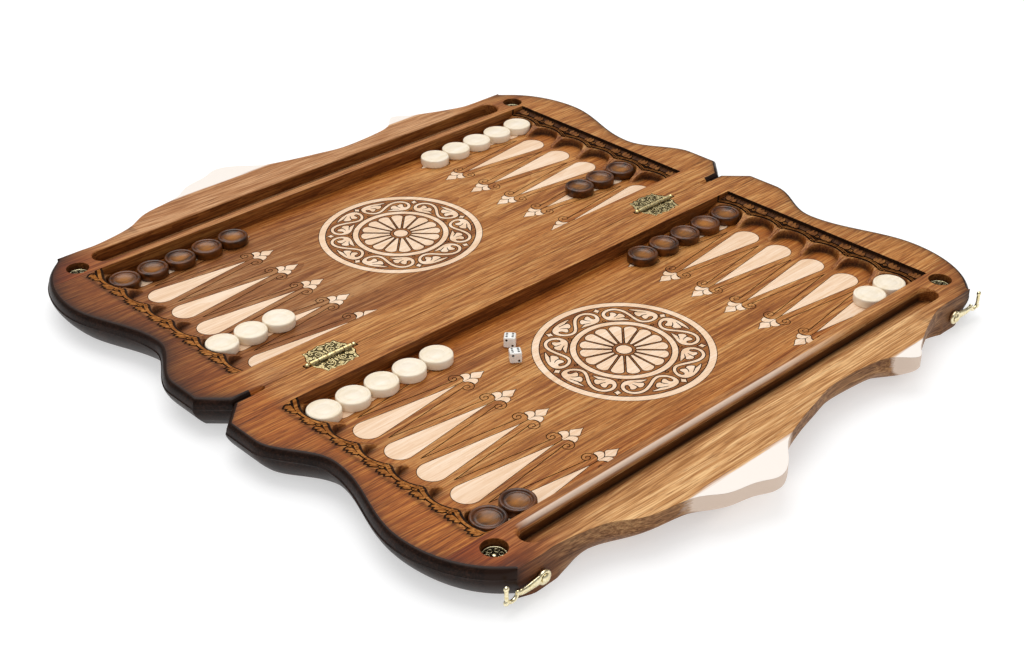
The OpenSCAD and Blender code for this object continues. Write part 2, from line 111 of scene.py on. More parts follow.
class Sheet:
    """The node tree of a material, or of the world."""

    def __init__(self, name: str | None = None, tree: bpy.types.NodeTree | None = None) -> None:
        """Starts a material's tree with a shader and object coordinates in millimetres, or takes a given tree.

        Args:
            name: Name of the material.
            tree: Tree to add to where no material is made.
        """
        self.tree = tree
        if name:
            self.material = bpy.data.materials.new(name)
            self.material.use_nodes = True
            self.tree = self.material.node_tree
            self.shader = self.tree.nodes["Principled BSDF"]
            place = self.add("ShaderNodeTexCoord", out="Object")
            self.mm = self.add("ShaderNodeVectorMath", {0: place, "Scale": 1000.0}, operation="SCALE")

    def add(
        self,
        kind: str,
        inputs: dict | Sequence = (),
        out: int | str = 0,
        stops: Sequence[tuple[float, str]] = (),
        **settings: object,
    ) -> Socket:
        """Adds a node with its settings and links.

        A map range's list holds a value, where it starts and ends, and what it becomes there.

        Args:
            kind: Node type.
            inputs: Values, or the sockets that feed them, in the order of the input sockets or by name or number.
            out: Output to return.
            stops: Positions and hex colours of a colour ramp.
            **settings: Properties of the node.

        Returns:
            The chosen output socket.
        """
        node = self.tree.nodes.new(kind)
        for key, value in settings.items():
            setattr(node, key, value)
        for i, (position, code) in enumerate(stops):
            element = node.color_ramp.elements[i] if i < 2 else node.color_ramp.elements.new(position)
            element.position, element.color = position, hex_linear(code)
        for key, value in inputs.items() if isinstance(inputs, dict) else enumerate(inputs):
            self.join(node.inputs[key], value)
        return node.outputs[out]

    def join(self, socket: Socket, value: object) -> None:
        """Links an input to the output that feeds it, or sets its value.

        Args:
            socket: The input.
            value: An output, a value, or a colour in hex.
        """
        if isinstance(value, Socket):
            self.tree.links.new(value, socket)
        else:
            socket.default_value = hex_linear(value) if isinstance(value, str) else value

    def figure(
        self, place: Socket, cell: tuple[float, float], detail: float, roughness: float = 0.5, out: int | str = 0
    ) -> Socket:
        """One layer of a finish's figure: soft cells of a real size, stretched along Y.

        Args:
            place: Coordinates in millimetres.
            cell: Width and length of a cell in millimetres.
            detail: Finer layers in it.
            roughness: Strength of those layers.
            out: Output to return.

        Returns:
            The chosen output socket.
        """
        wide, long = cell
        scaled = self.add("ShaderNodeVectorMath", [place, (1 / wide, 1 / long, 1 / wide)], operation="MULTIPLY")
        inputs = {"Vector": scaled, "Scale": 1.0, "Detail": detail, "Roughness": roughness}
        return self.add("ShaderNodeTexNoise", inputs, out)

    def feed(self, **inputs: object) -> bpy.types.Material:
        """Sets or links the shader's inputs.

        Args:
            **inputs: Values or outputs by the inputs' names, with underscores for spaces.

        Returns:
            The finished material.
        """
        for key, value in inputs.items():
            self.join(self.shader.inputs[key.replace("_", " ")], value)
        return self.material


# Where the field's walls stand from the hinge line, and its ends from the middle, in millimetres.
FIELD_INNER, FIELD_OUTER, FIELD_END = 30.0, 253.0, 256.0


class Zone(Enum):
    """How a wood finish changes over the board."""

    PLAIN = 0
    FIELD = 1
    RAIL = 2


@dataclass(frozen=True)
class WoodFinish:
    """Sawn, stained and lacquered hardwood.

    It gives the eye growth rings of a log cut lengthwise, fine fibres, short dark pores along Y and a satin coat.
    The mesh's burn attribute burns the stain dark in places and darkens it elsewhere as painted shade; below 0 it
    lightens it as a painted highlight. Where a crevice share is set, creases and corners get painted shade as well.
    """

    name: str
    dark: str
    mid: str
    light: str
    pore: str = "#6B4020"
    ring_mm: float = 6.5
    figure_mm: float = 7.0
    pore_share: float = 0.5
    ring_share: float = 0.08
    roughness: float = 0.42
    sheen: float = 0.15
    coat: float = 0.04
    bevel_mm: float = 0.0
    crevice: float = 0.0
    zone: Zone = Zone.PLAIN
    sapwood: str = "#F6EDE4"
    golden: tuple[str, str, str] = ("#A26B37", "#C9925A", "#EBBD84")
    rail: tuple[str, str, str] = ("#7C3E14", "#A15820", "#C67F38")
    burnt_and_shaded: str = "#25150D"
    ridge_highlight: str = "#E6CFBB"
    amber: str = "#F0D3A6"
    shaded: str = "#DAD8EA"
    left_half_shade: str = "#EAE2EC"
    deeper: str = "#D6A88C"
    dirt: str = "#4A2C18"
    pith: tuple[float, float] = (-150.0, 60.0)
    tilt: float = 0.14

    def grain(self, s: Sheet) -> tuple[Socket, Socket, Socket]:
        """Growth rings round a tilted pith, fibres about 1 mm wide, long dark lines and pores about 8 mm long.

        Real pores are finer than a pixel, so they are drawn coarser here.

        Args:
            s: The material's tree.

        Returns:
            Tone from 0 to 1, the pores' mask, and the surface height.
        """
        wander = s.figure(s.mm, (70, 260), 2.5, out="Color")
        drift = [wander, (2 * self.figure_mm, 0.0, 0.0), s.mm]
        moved = s.add("ShaderNodeVectorMath", drift, operation="MULTIPLY_ADD")
        x, y, z = s.add("ShaderNodeSeparateXYZ", [moved]).node.outputs
        aside = s.add("ShaderNodeMath", [x, self.pith[0]], operation="SUBTRACT")
        deep = s.add("ShaderNodeMath", [y, self.tilt, self.pith[1]], operation="MULTIPLY_ADD")
        below = s.add("ShaderNodeMath", [deep, z], operation="SUBTRACT")
        flat = s.add("ShaderNodeCombineXYZ", [aside, below])
        age = s.add("ShaderNodeVectorMath", [flat], out="Value", operation="LENGTH")
        ripple = s.figure(s.mm, (9, 34), 1.0)
        rough_age = s.add("ShaderNodeMath", [ripple, 4.5, age], operation="MULTIPLY_ADD")
        years = s.add("ShaderNodeMath", [rough_age, 1 / self.ring_mm], operation="MULTIPLY")
        season = s.add("ShaderNodeMath", [years], operation="FRACT")
        ring = s.add("ShaderNodeMath", [season, 1.7], operation="POWER")
        growth = s.figure(moved, (15, 280), 3.0, 0.6)
        fibre = s.figure(moved, (1.3, 40), 2.0)
        pores = s.figure(moved, (0.8, 10), 1.0)
        spots = s.add("ShaderNodeMapRange", [pores, 0.56, 0.7])
        drawn = s.figure(moved, (2.8, 190), 2.0)
        apart = s.add("ShaderNodeMath", [drawn, 0.5], operation="SUBTRACT")
        apart = s.add("ShaderNodeMath", [apart], operation="ABSOLUTE")
        lines = s.add("ShaderNodeMapRange", [apart, 0.0, 0.035, 0.8, 0.0])
        spots = s.add("ShaderNodeMath", [spots, lines], operation="MAXIMUM")
        tone = s.add("ShaderNodeMix", {0: 0.56, 2: growth, 3: fibre}, data_type="FLOAT")
        tone = s.add("ShaderNodeMath", [ring, -self.ring_share, tone], operation="MULTIPLY_ADD")
        tone = s.add("ShaderNodeMath", [tone, 0.37 * self.ring_share], operation="ADD")
        height = s.add("ShaderNodeMath", [spots, -0.6, fibre], operation="MULTIPLY_ADD")
        return tone, spots, height

    def stained(self, s: Sheet, tone: Socket, colours: tuple[str, str, str]) -> Socket:
        """Colour of a tone between three stains."""
        stops = ((0.38, colours[0]), (0.62, colours[2]), (0.5, colours[1]))
        return s.add("ShaderNodeValToRGB", [tone], stops=stops)

    def field_zone(self, s: Sheet, tone: Socket, colour: Socket) -> Socket:
        """Redder stain on the near rail, an amber tint deepening the field's floor towards its walls, and painted
        shade over the near left quarter.

        Args:
            s: The material's tree.
            tone: Tone of the grain.
            colour: Colour of the plain stain.

        Returns:
            The colour.
        """
        side = s.add("ShaderNodeVectorMath", [s.mm], operation="ABSOLUTE")
        x, y, z = s.add("ShaderNodeSeparateXYZ", [side]).node.outputs
        across, along, _ = s.add("ShaderNodeSeparateXYZ", [s.mm]).node.outputs
        ends = s.add("ShaderNodeMapRange", [along, -250.0, -268.0])
        warm = self.stained(s, tone, self.rail)
        colour = s.add("ShaderNodeMix", {0: ends, 6: colour, 7: warm}, **BLEND)
        # An amber tint that deepens the field's floor towards its walls, low in the recess.
        inner = s.add("ShaderNodeMath", [x, FIELD_INNER], operation="SUBTRACT")
        outer = s.add("ShaderNodeMath", [FIELD_OUTER, x], operation="SUBTRACT")
        end = s.add("ShaderNodeMath", [FIELD_END, y], operation="SUBTRACT")
        near = s.add("ShaderNodeMath", [inner, outer], operation="MINIMUM")
        near = s.add("ShaderNodeMath", [near, end], operation="MINIMUM")
        wall_tint = s.add("ShaderNodeMapRange", [near, 1.0, 42.0, 0.85, 0.0], interpolation_type="SMOOTHSTEP")
        low = s.add("ShaderNodeMapRange", [z, 24.0, 20.0])
        share = s.add("ShaderNodeMath", [wall_tint, low], operation="MULTIPLY")
        colour = s.add("ShaderNodeMix", {0: share, 6: colour, 7: self.amber}, **TINT)
        # Painted shade over the near left quarter of the field.
        left = s.add("ShaderNodeMapRange", [across, -20.0, -50.0])
        quarter = s.add("ShaderNodeMapRange", [along, 60.0, -140.0])
        both = s.add("ShaderNodeMath", [left, quarter], operation="MULTIPLY")
        return s.add("ShaderNodeMix", {0: both, 6: colour, 7: self.shaded}, **TINT)

    def rail_zone(self, s: Sheet, tone: Socket, colour: Socket) -> tuple[Socket, Socket]:
        """Golden wood outside the tray groove, and pale sapwood beyond a crisp line where the live edge swells.

        The left half is painted a little darker as shade, and the near corners are deeper.

        Args:
            s: The material's tree.
            tone: Tone of the grain.
            colour: Colour of the stained wood at the corners.

        Returns:
            The colour, and the mask of the sapwood.
        """
        side = s.add("ShaderNodeVectorMath", [s.mm], operation="ABSOLUTE")
        x, y, _ = s.add("ShaderNodeSeparateXYZ", [side]).node.outputs
        across, along, _ = s.add("ShaderNodeSeparateXYZ", [s.mm]).node.outputs
        golden = self.stained(s, tone, self.golden)
        # Painted shade over the left half's golden wood.
        left = s.add("ShaderNodeMath", [across, 0.0], operation="LESS_THAN")
        golden = s.add("ShaderNodeMix", {0: left, 6: golden, 7: self.left_half_shade}, **TINT)
        past = s.add("ShaderNodeMapRange", [x, 264.0, 286.0, 0.3])
        fade = s.add("ShaderNodeMapRange", [y, 170.0, 258.0, 1.0, 0.1], interpolation_type="SMOOTHSTEP")
        share = s.add("ShaderNodeMath", [past, fade], operation="MULTIPLY")
        mixed = s.add("ShaderNodeMix", {0: share, 6: colour, 7: golden}, **BLEND)
        corner = s.add("ShaderNodeMapRange", [along, -215.0, -270.0])
        mixed = s.add("ShaderNodeMix", {0: corner, 6: mixed, 7: self.deeper}, **TINT)
        limit = s.add("ShaderNodeMapRange", [along, 20.0, 110.0, 323.0, 313.5])
        wobble = s.add("ShaderNodeMath", [tone, 7.0, limit], operation="MULTIPLY_ADD")
        beyond = s.add("ShaderNodeMath", [x, wobble], operation="SUBTRACT")
        sap = s.add("ShaderNodeMapRange", [beyond, -5.0, -2.5])
        return s.add("ShaderNodeMix", {0: sap, 6: mixed, 7: self.sapwood}, **BLEND), sap

    def material(self) -> bpy.types.Material:
        """Builds the finish.

        Returns:
            The material.
        """
        s = Sheet(self.name)
        tone, pores, height = self.grain(s)
        colour = self.stained(s, tone, (self.dark, self.mid, self.light))
        depth = s.add("ShaderNodeMath", [pores, self.pore_share], operation="MULTIPLY")
        if self.zone is Zone.FIELD:
            colour = self.field_zone(s, tone, colour)
        if self.zone is Zone.RAIL:
            colour, sap = self.rail_zone(s, tone, colour)
            clear = s.add("ShaderNodeMath", [1.0, sap], operation="SUBTRACT")
            depth = s.add("ShaderNodeMath", [depth, clear], operation="MULTIPLY")
        colour = s.add("ShaderNodeMix", {0: depth, 6: colour, 7: self.pore}, **TINT)
        # The burn attribute darkens the stain, as burnt stain in some places and as painted shade in others; below 0
        # it mixes in a painted highlight.
        burn_and_painted_light = s.add("ShaderNodeAttribute", out="Fac", attribute_name="burn_and_painted_light")
        wear_and_highlight = s.add("ShaderNodeMapRange", [burn_and_painted_light, 0.0, -1.0, 0.0, 0.8])
        colour = s.add("ShaderNodeMix", {0: wear_and_highlight, 6: colour, 7: self.ridge_highlight}, **BLEND)
        colour = s.add("ShaderNodeMix", {0: burn_and_painted_light, 6: colour, 7: self.burnt_and_shaded}, **BLEND)
        # Painted shade in creases and corners, from an ambient occlusion node.
        if self.crevice:
            near = s.add("ShaderNodeAmbientOcclusion", {"Distance": 8 * MM}, out="AO", samples=8, only_local=True)
            shade = s.add("ShaderNodeMapRange", [near, 0.35, 0.95, self.crevice, 0.0])
            colour = s.add("ShaderNodeMix", {0: shade, 6: colour, 7: self.dirt}, **TINT)
        gloss = s.add("ShaderNodeMapRange", [tone, 0.0, 1.0, self.roughness + 0.08, self.roughness - 0.06])
        bump = {"Height": height, "Strength": 0.12, "Distance": 0.2 * MM}
        if self.bevel_mm:
            bump["Normal"] = s.add("ShaderNodeBevel", {"Radius": self.bevel_mm * MM}, samples=4)
        normal = s.add("ShaderNodeBump", bump)
        coat = {"Coat_Weight": self.coat, "Coat_Roughness": 0.2, "Specular_IOR_Level": self.sheen}
        return s.feed(Base_Color=colour, Roughness=gloss, Normal=normal, IOR=1.45, **coat)


@dataclass(frozen=True)
class BrassFinish:
    """Cast brass, antiqued: dark patina held in the hollows and rubbed bright on what stands proud."""

    name: str
    bright: str = "#EEDDA8"
    dull: str = "#BBA065"
    patina: str = "#2A2212"
    roughness: float = 0.3
    wear_mm: float = 0.9
    wear_and_highlight: bool = False

    def material(self) -> bpy.types.Material:
        """Builds the finish; where it is rubbed, the mesh's own "rub" attribute marks what is bright.

        Returns:
            The material.
        """
        s = Sheet(self.name)
        cloud = s.figure(s.mm, (2, 2), 4.0)
        colour = s.add("ShaderNodeValToRGB", [cloud], stops=((0.3, self.dull), (0.62, self.bright)))
        if self.wear_and_highlight:
            rub = s.add("ShaderNodeAttribute", out="Fac", attribute_name="rub")
            held = s.add("ShaderNodeMath", [1.0, rub], operation="SUBTRACT")
        else:
            reach = {"Distance": self.wear_mm * MM}
            near = s.add("ShaderNodeAmbientOcclusion", reach, out="AO", samples=8, only_local=True)
            held = s.add("ShaderNodeMapRange", [near, 0.45, 0.9, 1.0, 0.0])
        colour = s.add("ShaderNodeMix", {0: held, 6: colour, 7: self.patina}, **BLEND)
        gloss = s.add("ShaderNodeMapRange", [cloud, 0.0, 1.0, self.roughness - 0.08, self.roughness + 0.14])
        soft = s.add("ShaderNodeBevel", {"Radius": 0.25 * MM}, samples=4)
        normal = s.add("ShaderNodeBump", {"Height": cloud, "Strength": 0.1, "Distance": 0.1 * MM, "Normal": soft})
        return s.feed(Base_Color=colour, Metallic=1.0, Roughness=gloss, Normal=normal)


@dataclass(frozen=True)
class TurnedFinish:
    """Turned hardwood, polished or lacquered: cloudy grain, faint fibres, a warm heart and a gloss coat."""

    name: str
    dark: str
    light: str
    heart: str
    roughness: float
    coat: float
    cloud_mm: float = 6.0

    def material(self) -> bpy.types.Material:
        """Builds the finish; the mesh's own "heart" attribute marks the middle of the face.

        Returns:
            The material.
        """
        s = Sheet(self.name)
        cloud = s.figure(s.mm, (self.cloud_mm, self.cloud_mm / 0.22), 5.0, 0.6)
        colour = s.add("ShaderNodeValToRGB", [cloud], stops=((0.36, self.dark), (0.64, self.light)))
        heart = s.add("ShaderNodeAttribute", out="Fac", attribute_name="heart")
        share = s.add("ShaderNodeMath", [heart, cloud], operation="MULTIPLY")
        colour = s.add("ShaderNodeMix", {0: share, 6: colour, 7: self.heart}, **BLEND)
        fibre = s.figure(s.mm, (1 / 1.4, 1 / 0.12), 2.0)
        normal = s.add("ShaderNodeBump", {"Height": fibre, "Strength": 0.08, "Distance": 0.2 * MM})
        gloss = s.add("ShaderNodeMapRange", [fibre, 0.0, 1.0, self.roughness - 0.05, self.roughness + 0.08])
        coat = {"Coat_Weight": self.coat, "Coat_Roughness": 0.06, "Specular_IOR_Level": 0.3}
        return s.feed(Base_Color=colour, Roughness=gloss, Normal=normal, IOR=1.5, **coat)


@dataclass(frozen=True)
class DiceFinish:
    """Moulded acrylic, tumbled smooth, with black paint in the pips."""

    name: str
    body: str = "#FBFAF6"
    pip: str = "#0D0C0A"

    def material(self) -> bpy.types.Material:
        """Builds the finish; the mesh's own "pip" attribute marks the painted hollows.

        Returns:
            The material.
        """
        s = Sheet(self.name)
        mask = s.add("ShaderNodeAttribute", out="Fac", attribute_name="pip")
        tint = s.add("ShaderNodeTexNoise", {"Vector": s.mm, "Scale": 0.25, "Detail": 2.0})
        body = s.add("ShaderNodeValToRGB", [tint], stops=((0.3, "#F3F1EA"), (0.7, self.body)))
        colour = s.add("ShaderNodeMix", {0: mask, 6: body, 7: self.pip}, **BLEND)
        gloss = s.add("ShaderNodeMapRange", [mask, 0.0, 1.0, 0.18, 0.45])
        return s.feed(Base_Color=colour, Roughness=gloss, IOR=1.49)


# Field and rails: the warm brown that most of the board shows.
STAINED = WoodFinish(
    "stained_elm", "#8C5023", "#B47438", "#D29A5C", bevel_mm=0.9, crevice=0.8, zone=Zone.FIELD
)
# Moulded edge: nearly black, with a soft sheen along the bead.
MOULDING = WoodFinish(
    "dark_moulding", "#160B07", "#22130C", "#331E15", "#140A07", ring_share=0.0, roughness=0.4, sheen=0.06, coat=0.14,
    bevel_mm=0.5,
)
# Cut walls and the underside: the same stain, deeper on end grain, and darker still as painted shade.
WALL = WoodFinish("stained_wall", "#5A2E10", "#7A441C", "#96602E", "#3A210F", bevel_mm=0.5, crevice=0.3)
# Scorched lines round inlays and in the engraving.
LINE = WoodFinish("burnt_and_shaded_line", "#1B100A", "#2A190E", "#3A2415", "#150C06", roughness=0.6, sheen=0.05, coat=0.0)
# Ground behind the leaf garland: dark, so that the leaves stand out.
GROUND = WoodFinish(
    "garland_ground", "#4A2A16", "#653D22", "#80522E", "#2E1A0C", sheen=0.05, coat=0.0, bevel_mm=0.4, crevice=0.3
)
# Raised leaves and ribbon of the garland, rubbed lighter.
LEAF = WoodFinish("garland_leaf", "#7E481B", "#A2642C", "#C08040", sheen=0.05, coat=0.0, bevel_mm=0.4, crevice=0.2)
# Band between the rosette's vines.
BAND = WoodFinish("rosette_ground", "#7A4420", "#9A5E2A", "#B87C40", bevel_mm=0.3)
# Outer staves: brown corners that turn golden beside the groove, and cream sapwood.
RAIL = WoodFinish(
    "golden_rail", "#7A431F", "#A0602C", "#C48748", pore_share=0.35, bevel_mm=0.5, crevice=0.4, zone=Zone.RAIL,
    figure_mm=9.0,
)
# Side of the live edge: rougher and duller, with the rail's colours painted darker as shade, pale at the sapwood.
LIVE_EDGE = WoodFinish(
    "live_edge", "#4B2E1C", "#714A30", "#936A45", "#3B2617", figure_mm=12.0, ring_share=0.0, roughness=0.5, coat=0.0,
    bevel_mm=0.8, zone=Zone.RAIL, sapwood="#D8C3B2", golden=("#6A452B", "#8E6440", "#AE8458"),
)
# Inlaid points and rosettes: pale and fine-grained, the lightest wood on the board.
PALE = WoodFinish(
    "pale_maple", "#EAC6A2", "#F3D3B3", "#F9E0C6", "#E2BC94", ring_mm=9.0, pore_share=0.25, bevel_mm=0.3
)
# Hinges: warm cast brass with dark hollows, and the nearly black ground behind their scrolls.
BRASS = BrassFinish("antique_brass")
PATINA = BrassFinish("brass_patina", "#5E5236", "#33290F", "#171208", 0.45)
# Hooks and studs: pale polished brass. Medallions: dark, with rubbed crests.
BRIGHT = BrassFinish("pale_brass", "#F8EECB", "#DDCB95", "#6A5A35", 0.25)
RUBBED = BrassFinish("wear_and_highlight_brass", "#E4DAB4", "#A2946A", "#17110A", 0.28, wear_and_highlight=True)
# Checkers: satin ivory ones, and glossy dark ones with an amber middle.
IVORY = TurnedFinish("ivory_hornbeam", "#F4E3C6", "#FAEDD8", "#FAF0E0", 0.36, 0.15)
DARK = TurnedFinish("dark_walnut_gloss", "#2C1507", "#6C3A10", "#C07A26", 0.28, 0.14)
# Dice: clean white with black pips.
DICE = DiceFinish("white_acrylic")
Finish = WoodFinish | BrassFinish | TurnedFinish | DiceFinish


@cache
def finish(kind: Finish) -> bpy.types.Material:
    """Material of a finish, built once."""
    return kind.material()


# Meshes


@dataclass
class Surface:
    """A mesh in the making: vertices in millimetres, faces of one size per block and a paint for each face."""

    blocks: list[tuple[Array, Array, int | Array]] = field(default_factory=list)

    def put(self, verts: Array, faces: Array, paint: int | Array = 0) -> None:
        """Adds a block of vertices, with its triangles or quads."""
        self.blocks.append((np.asarray(verts, float), np.asarray(faces, int), paint))

    def grid(self, points: Array, paint: int | Array = 0, wrap: bool = False) -> None:
        """Adds quads between the rows and columns of a grid of points.

        Args:
            points: Array of rows, columns and coordinates. Rows then columns turn clockwise seen from outside.
            paint: Material slot, the same or one per quad.
            wrap: Whether the last column joins the first one.
        """
        rows, cols = points.shape[:2]
        index = np.arange(rows * cols).reshape(rows, cols)
        index = np.hstack([index, index[:, :1]]) if wrap else index
        quads = np.stack([index[:-1, :-1], index[1:, :-1], index[1:, 1:], index[:-1, 1:]], -1)
        self.put(points.reshape(-1, 3), quads.reshape(-1, 4), paint)

    def turn(self, points: Array, paint: int = 0, closed: bool = False) -> None:
        """Adds a turned grid of points with its two ends filled.

        Args:
            points: The grid, profile by round.
            paint: Material slot.
            closed: Whether it closes on itself and has no ends.
        """
        self.grid(points, paint, wrap=True)
        if not closed:
            n = points.shape[1]
            self.put(points[0], np.arange(n)[None], paint)
            self.put(points[-1], np.arange(n)[None, ::-1], paint)

    def mirrored(self, flip: Sequence[float] = (-1.0, 1.0, 1.0)) -> Surface:
        """The same surface mirrored, across the hinge line unless told otherwise, still facing outwards."""
        return Surface([(v * np.array(flip), f[:, ::-1], p) for v, f, p in self.blocks])

    def piece(
        self,
        name: str,
        materials: Sequence[bpy.types.Material],
        body: str,
        nodes: Sequence[str],
        slot: str,
        angle: float = 35.0,
        marks: dict[str, Array | Callable[[Array], Array]] | None = None,
    ) -> bpy.types.Object:
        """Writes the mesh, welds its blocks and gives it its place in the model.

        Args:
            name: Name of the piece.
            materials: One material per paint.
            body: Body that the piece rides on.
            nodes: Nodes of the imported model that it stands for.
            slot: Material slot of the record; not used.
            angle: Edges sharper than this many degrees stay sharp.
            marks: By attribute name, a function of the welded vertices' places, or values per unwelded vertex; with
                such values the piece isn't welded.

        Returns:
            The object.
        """
        verts = np.concatenate([v for v, _, _ in self.blocks])
        offsets = np.cumsum([0] + [len(v) for v, _, _ in self.blocks])
        marks = marks or {}
        if any(isinstance(m, np.ndarray) for m in marks.values()):
            unique, inverse = verts, np.arange(len(verts))
        else:
            _, first, inverse = np.unique(np.round(verts, 3), axis=0, return_index=True, return_inverse=True)
            unique, inverse = verts[first], inverse.ravel()
        sizes = np.concatenate([np.full(len(f), f.shape[1]) for _, f, _ in self.blocks])
        loops = np.concatenate([inverse[f.ravel() + o] for (_, f, _), o in zip(self.blocks, offsets)])
        paint = np.concatenate([np.broadcast_to(p, len(f)) for _, f, p in self.blocks])
        mesh = bpy.data.meshes.new(name)
        mesh.vertices.add(len(unique))
        mesh.vertices.foreach_set("co", (unique * MM).ravel())
        mesh.loops.add(len(loops))
        mesh.loops.foreach_set("vertex_index", loops)
        mesh.polygons.add(len(sizes))
        mesh.polygons.foreach_set("loop_start", np.cumsum(sizes) - sizes)
        for material in materials:
            mesh.materials.append(material)
        mesh.polygons.foreach_set("material_index", paint.astype(int))
        mesh.validate()
        mesh.update()
        mesh.shade_smooth()
        mesh.set_sharp_from_angle(angle=float(np.radians(angle)))
        for key, mark in marks.items():
            values = mark(unique) if callable(mark) else mark
            mesh.attributes.new(key, "FLOAT", "POINT").data.foreach_set("value", values.astype(np.float32))
        obj = bpy.data.objects.new(name, mesh)
        bpy.context.scene.collection.objects.link(obj)
        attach(obj, body)
        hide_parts(*nodes)
        LOG.info("%s: %d faces for %s", name, len(sizes), ", ".join(nodes))
        return obj

    def on_halves(self, part: str, made: str, finishes: Sequence[Finish], slot: str, **more: object) -> None:
        """Sets this surface on the right half and its mirror image on the left one.

        Args:
            part: End of the nodes' names.
            made: End of the pieces' names.
            finishes: One finish per paint.
            slot: Material slot of the record.
            **more: A piece's angle and marks.
        """
        materials = [finish(f) for f in finishes]
        for half in Half:
            surface = self if half is Half.RIGHT else self.mirrored()
            node = f"{half.prefix}_{part}"
            surface.piece(f"{node}_{made}", materials, half.body, [node], slot, **more)


def turned(profile: Array, centre: Array, axis: Array, steps: int = 72, closed: bool = False) -> Array:
    """Grid of a profile turned about an axis: each point keeps its height and goes round at its radius.

    Args:
        profile: Radius and height of each point, going up on the outside.
        centre: Point where the axis has height 0.
        axis: Unit direction of the axis.
        steps: Points around.
        closed: Whether the profile's last point joins its first one, as for a ring.

    Returns:
        Points of the grid, profile by round.
    """
    profile = np.vstack([profile, profile[:1]]) if closed else np.asarray(profile, float)
    axis = np.asarray(axis, float)
    side = np.cross(axis, [0.0, 0.0, 1.0] if abs(axis[2]) < 0.9 else [1.0, 0.0, 0.0])
    side /= np.linalg.norm(side)
    front = np.cross(axis, side)
    turn = np.linspace(0, 2 * np.pi, steps, endpoint=False)
    round_ = np.cos(turn)[:, None] * side - np.sin(turn)[:, None] * front
    return np.asarray(centre) + profile[:, :1, None] * round_ + profile[:, 1:, None] * axis


def counter_clockwise(loop: Array) -> Array:
    """A flat loop, turned round where it runs clockwise."""
    x, y = loop.T
    return loop if np.dot(x, np.roll(y, -1)) > np.dot(y, np.roll(x, -1)) else loop[::-1]


def triangulate(loop: Array) -> tuple[Array, Array]:
    """Triangles that fill a closed flat loop.

    Args:
        loop: Corners of the loop.

    Returns:
        Points and counter-clockwise triangles.
    """
    loop = counter_clockwise(loop)
    points, _, faces, *_ = delaunay_2d_cdt(loop.tolist(), [], [list(range(len(loop)))], 1, 1e-4)
    return np.array(points), np.array(faces)


# Flat outlines


def circle(x: float, y: float, r: float, n: int = 40) -> Array:
    """Closed circle."""
    t = np.linspace(0, 2 * np.pi, n, endpoint=False)
    return np.stack([x + r * np.cos(t), y + r * np.sin(t)], 1)


def arc(x: float, y: float, r: float, start: float, end: float, n: int = 16) -> Array:
    """Points on a circle from one angle to another, in degrees."""
    t = np.radians(np.linspace(start, end, n))
    return np.stack([x + r * np.cos(t), y + r * np.sin(t)], 1)


def stroke(path: Array, width: float | Array) -> Array:
    """Closed outline of a line of some width along a path, square to it on both sides.

    Args:
        path: Points along the line.
        width: Full width, the same or one per point.

    Returns:
        Corners of the outline.
    """
    along = np.gradient(path, axis=0)
    along /= np.linalg.norm(along, axis=1, keepdims=True)
    out = np.stack([along[:, 1], -along[:, 0]], 1) * np.reshape(width, (-1, 1)) / 2
    return np.vstack([path + out, (path - out)[::-1]])


def petal(base: Sequence[float], tip: Sequence[float], half: float, grow: float = 0.0, n: int = 13) -> Array:
    """Closed petal between two points, widest near its base, grown all round.

    Args:
        base: Where the petal starts.
        tip: Where it ends.
        half: Half its width.
        grow: How much larger it is all round.
        n: Points on each side.

    Returns:
        Corners of the petal.
    """
    p, q = np.array(base, float), np.array(tip, float)
    d = (q - p) / np.linalg.norm(q - p)
    p, q = p - d * grow, q + d * 1.6 * grow
    t = np.linspace(0, 1, n)[:, None]
    side = np.array([-d[1], d[0]]) * (half + grow) * np.sin(np.pi * t**0.8)
    line = p + (q - p) * t
    return np.vstack([line + side, (line - side)[-2:0:-1]])


def grown(outline: Array, by: float) -> Array:
    """Closed outline pushed outwards by a distance, square to itself.

    Args:
        outline: Corners of the outline.
        by: The distance.

    Returns:
        Corners of the larger outline.
    """
    loop = counter_clockwise(outline)
    along = np.roll(loop, -1, 0) - np.roll(loop, 1, 0)
    along /= np.linalg.norm(along, axis=1, keepdims=True)
    return loop + by * np.stack([along[:, 1], -along[:, 0]], 1)


def smooth(points: Sequence[Sequence[float]], n: int = 8) -> Array:
    """Curve through points: between two of them it is the cubic that takes its slopes from their neighbours.

    Args:
        points: Points to pass through.
        n: Steps between two points.

    Returns:
        Points of the curve.
    """
    p = np.asarray(points, float)
    p = np.vstack([2 * p[:1] - p[1:2], p, 2 * p[-1:] - p[-2:-1]])
    a, b, c, d = p[:-3, None], p[1:-2, None], p[2:-1, None], p[3:, None]
    t = np.linspace(0, 1, n, endpoint=False)[None, :, None]
    curve = 0.5 * (2 * b + (c - a) * t + (2 * a - 5 * b + 4 * c - d) * t**2 + (3 * b - a - 3 * c + d) * t**3)
    return np.vstack([curve.reshape(-1, p.shape[1]), p[-2]])


@dataclass(frozen=True)
class Shape:
    """A flat outline carved to a level; of those over one another the highest rank wins. Level None is a hole.

    A swell adds its own height, a function of the place in the plan, to the level.
    """

    outline: Array
    level: float | None
    paint: int = 0
    wall: int = 0
    rank: int = 1
    swell: Callable[[Array], Array] | None = None


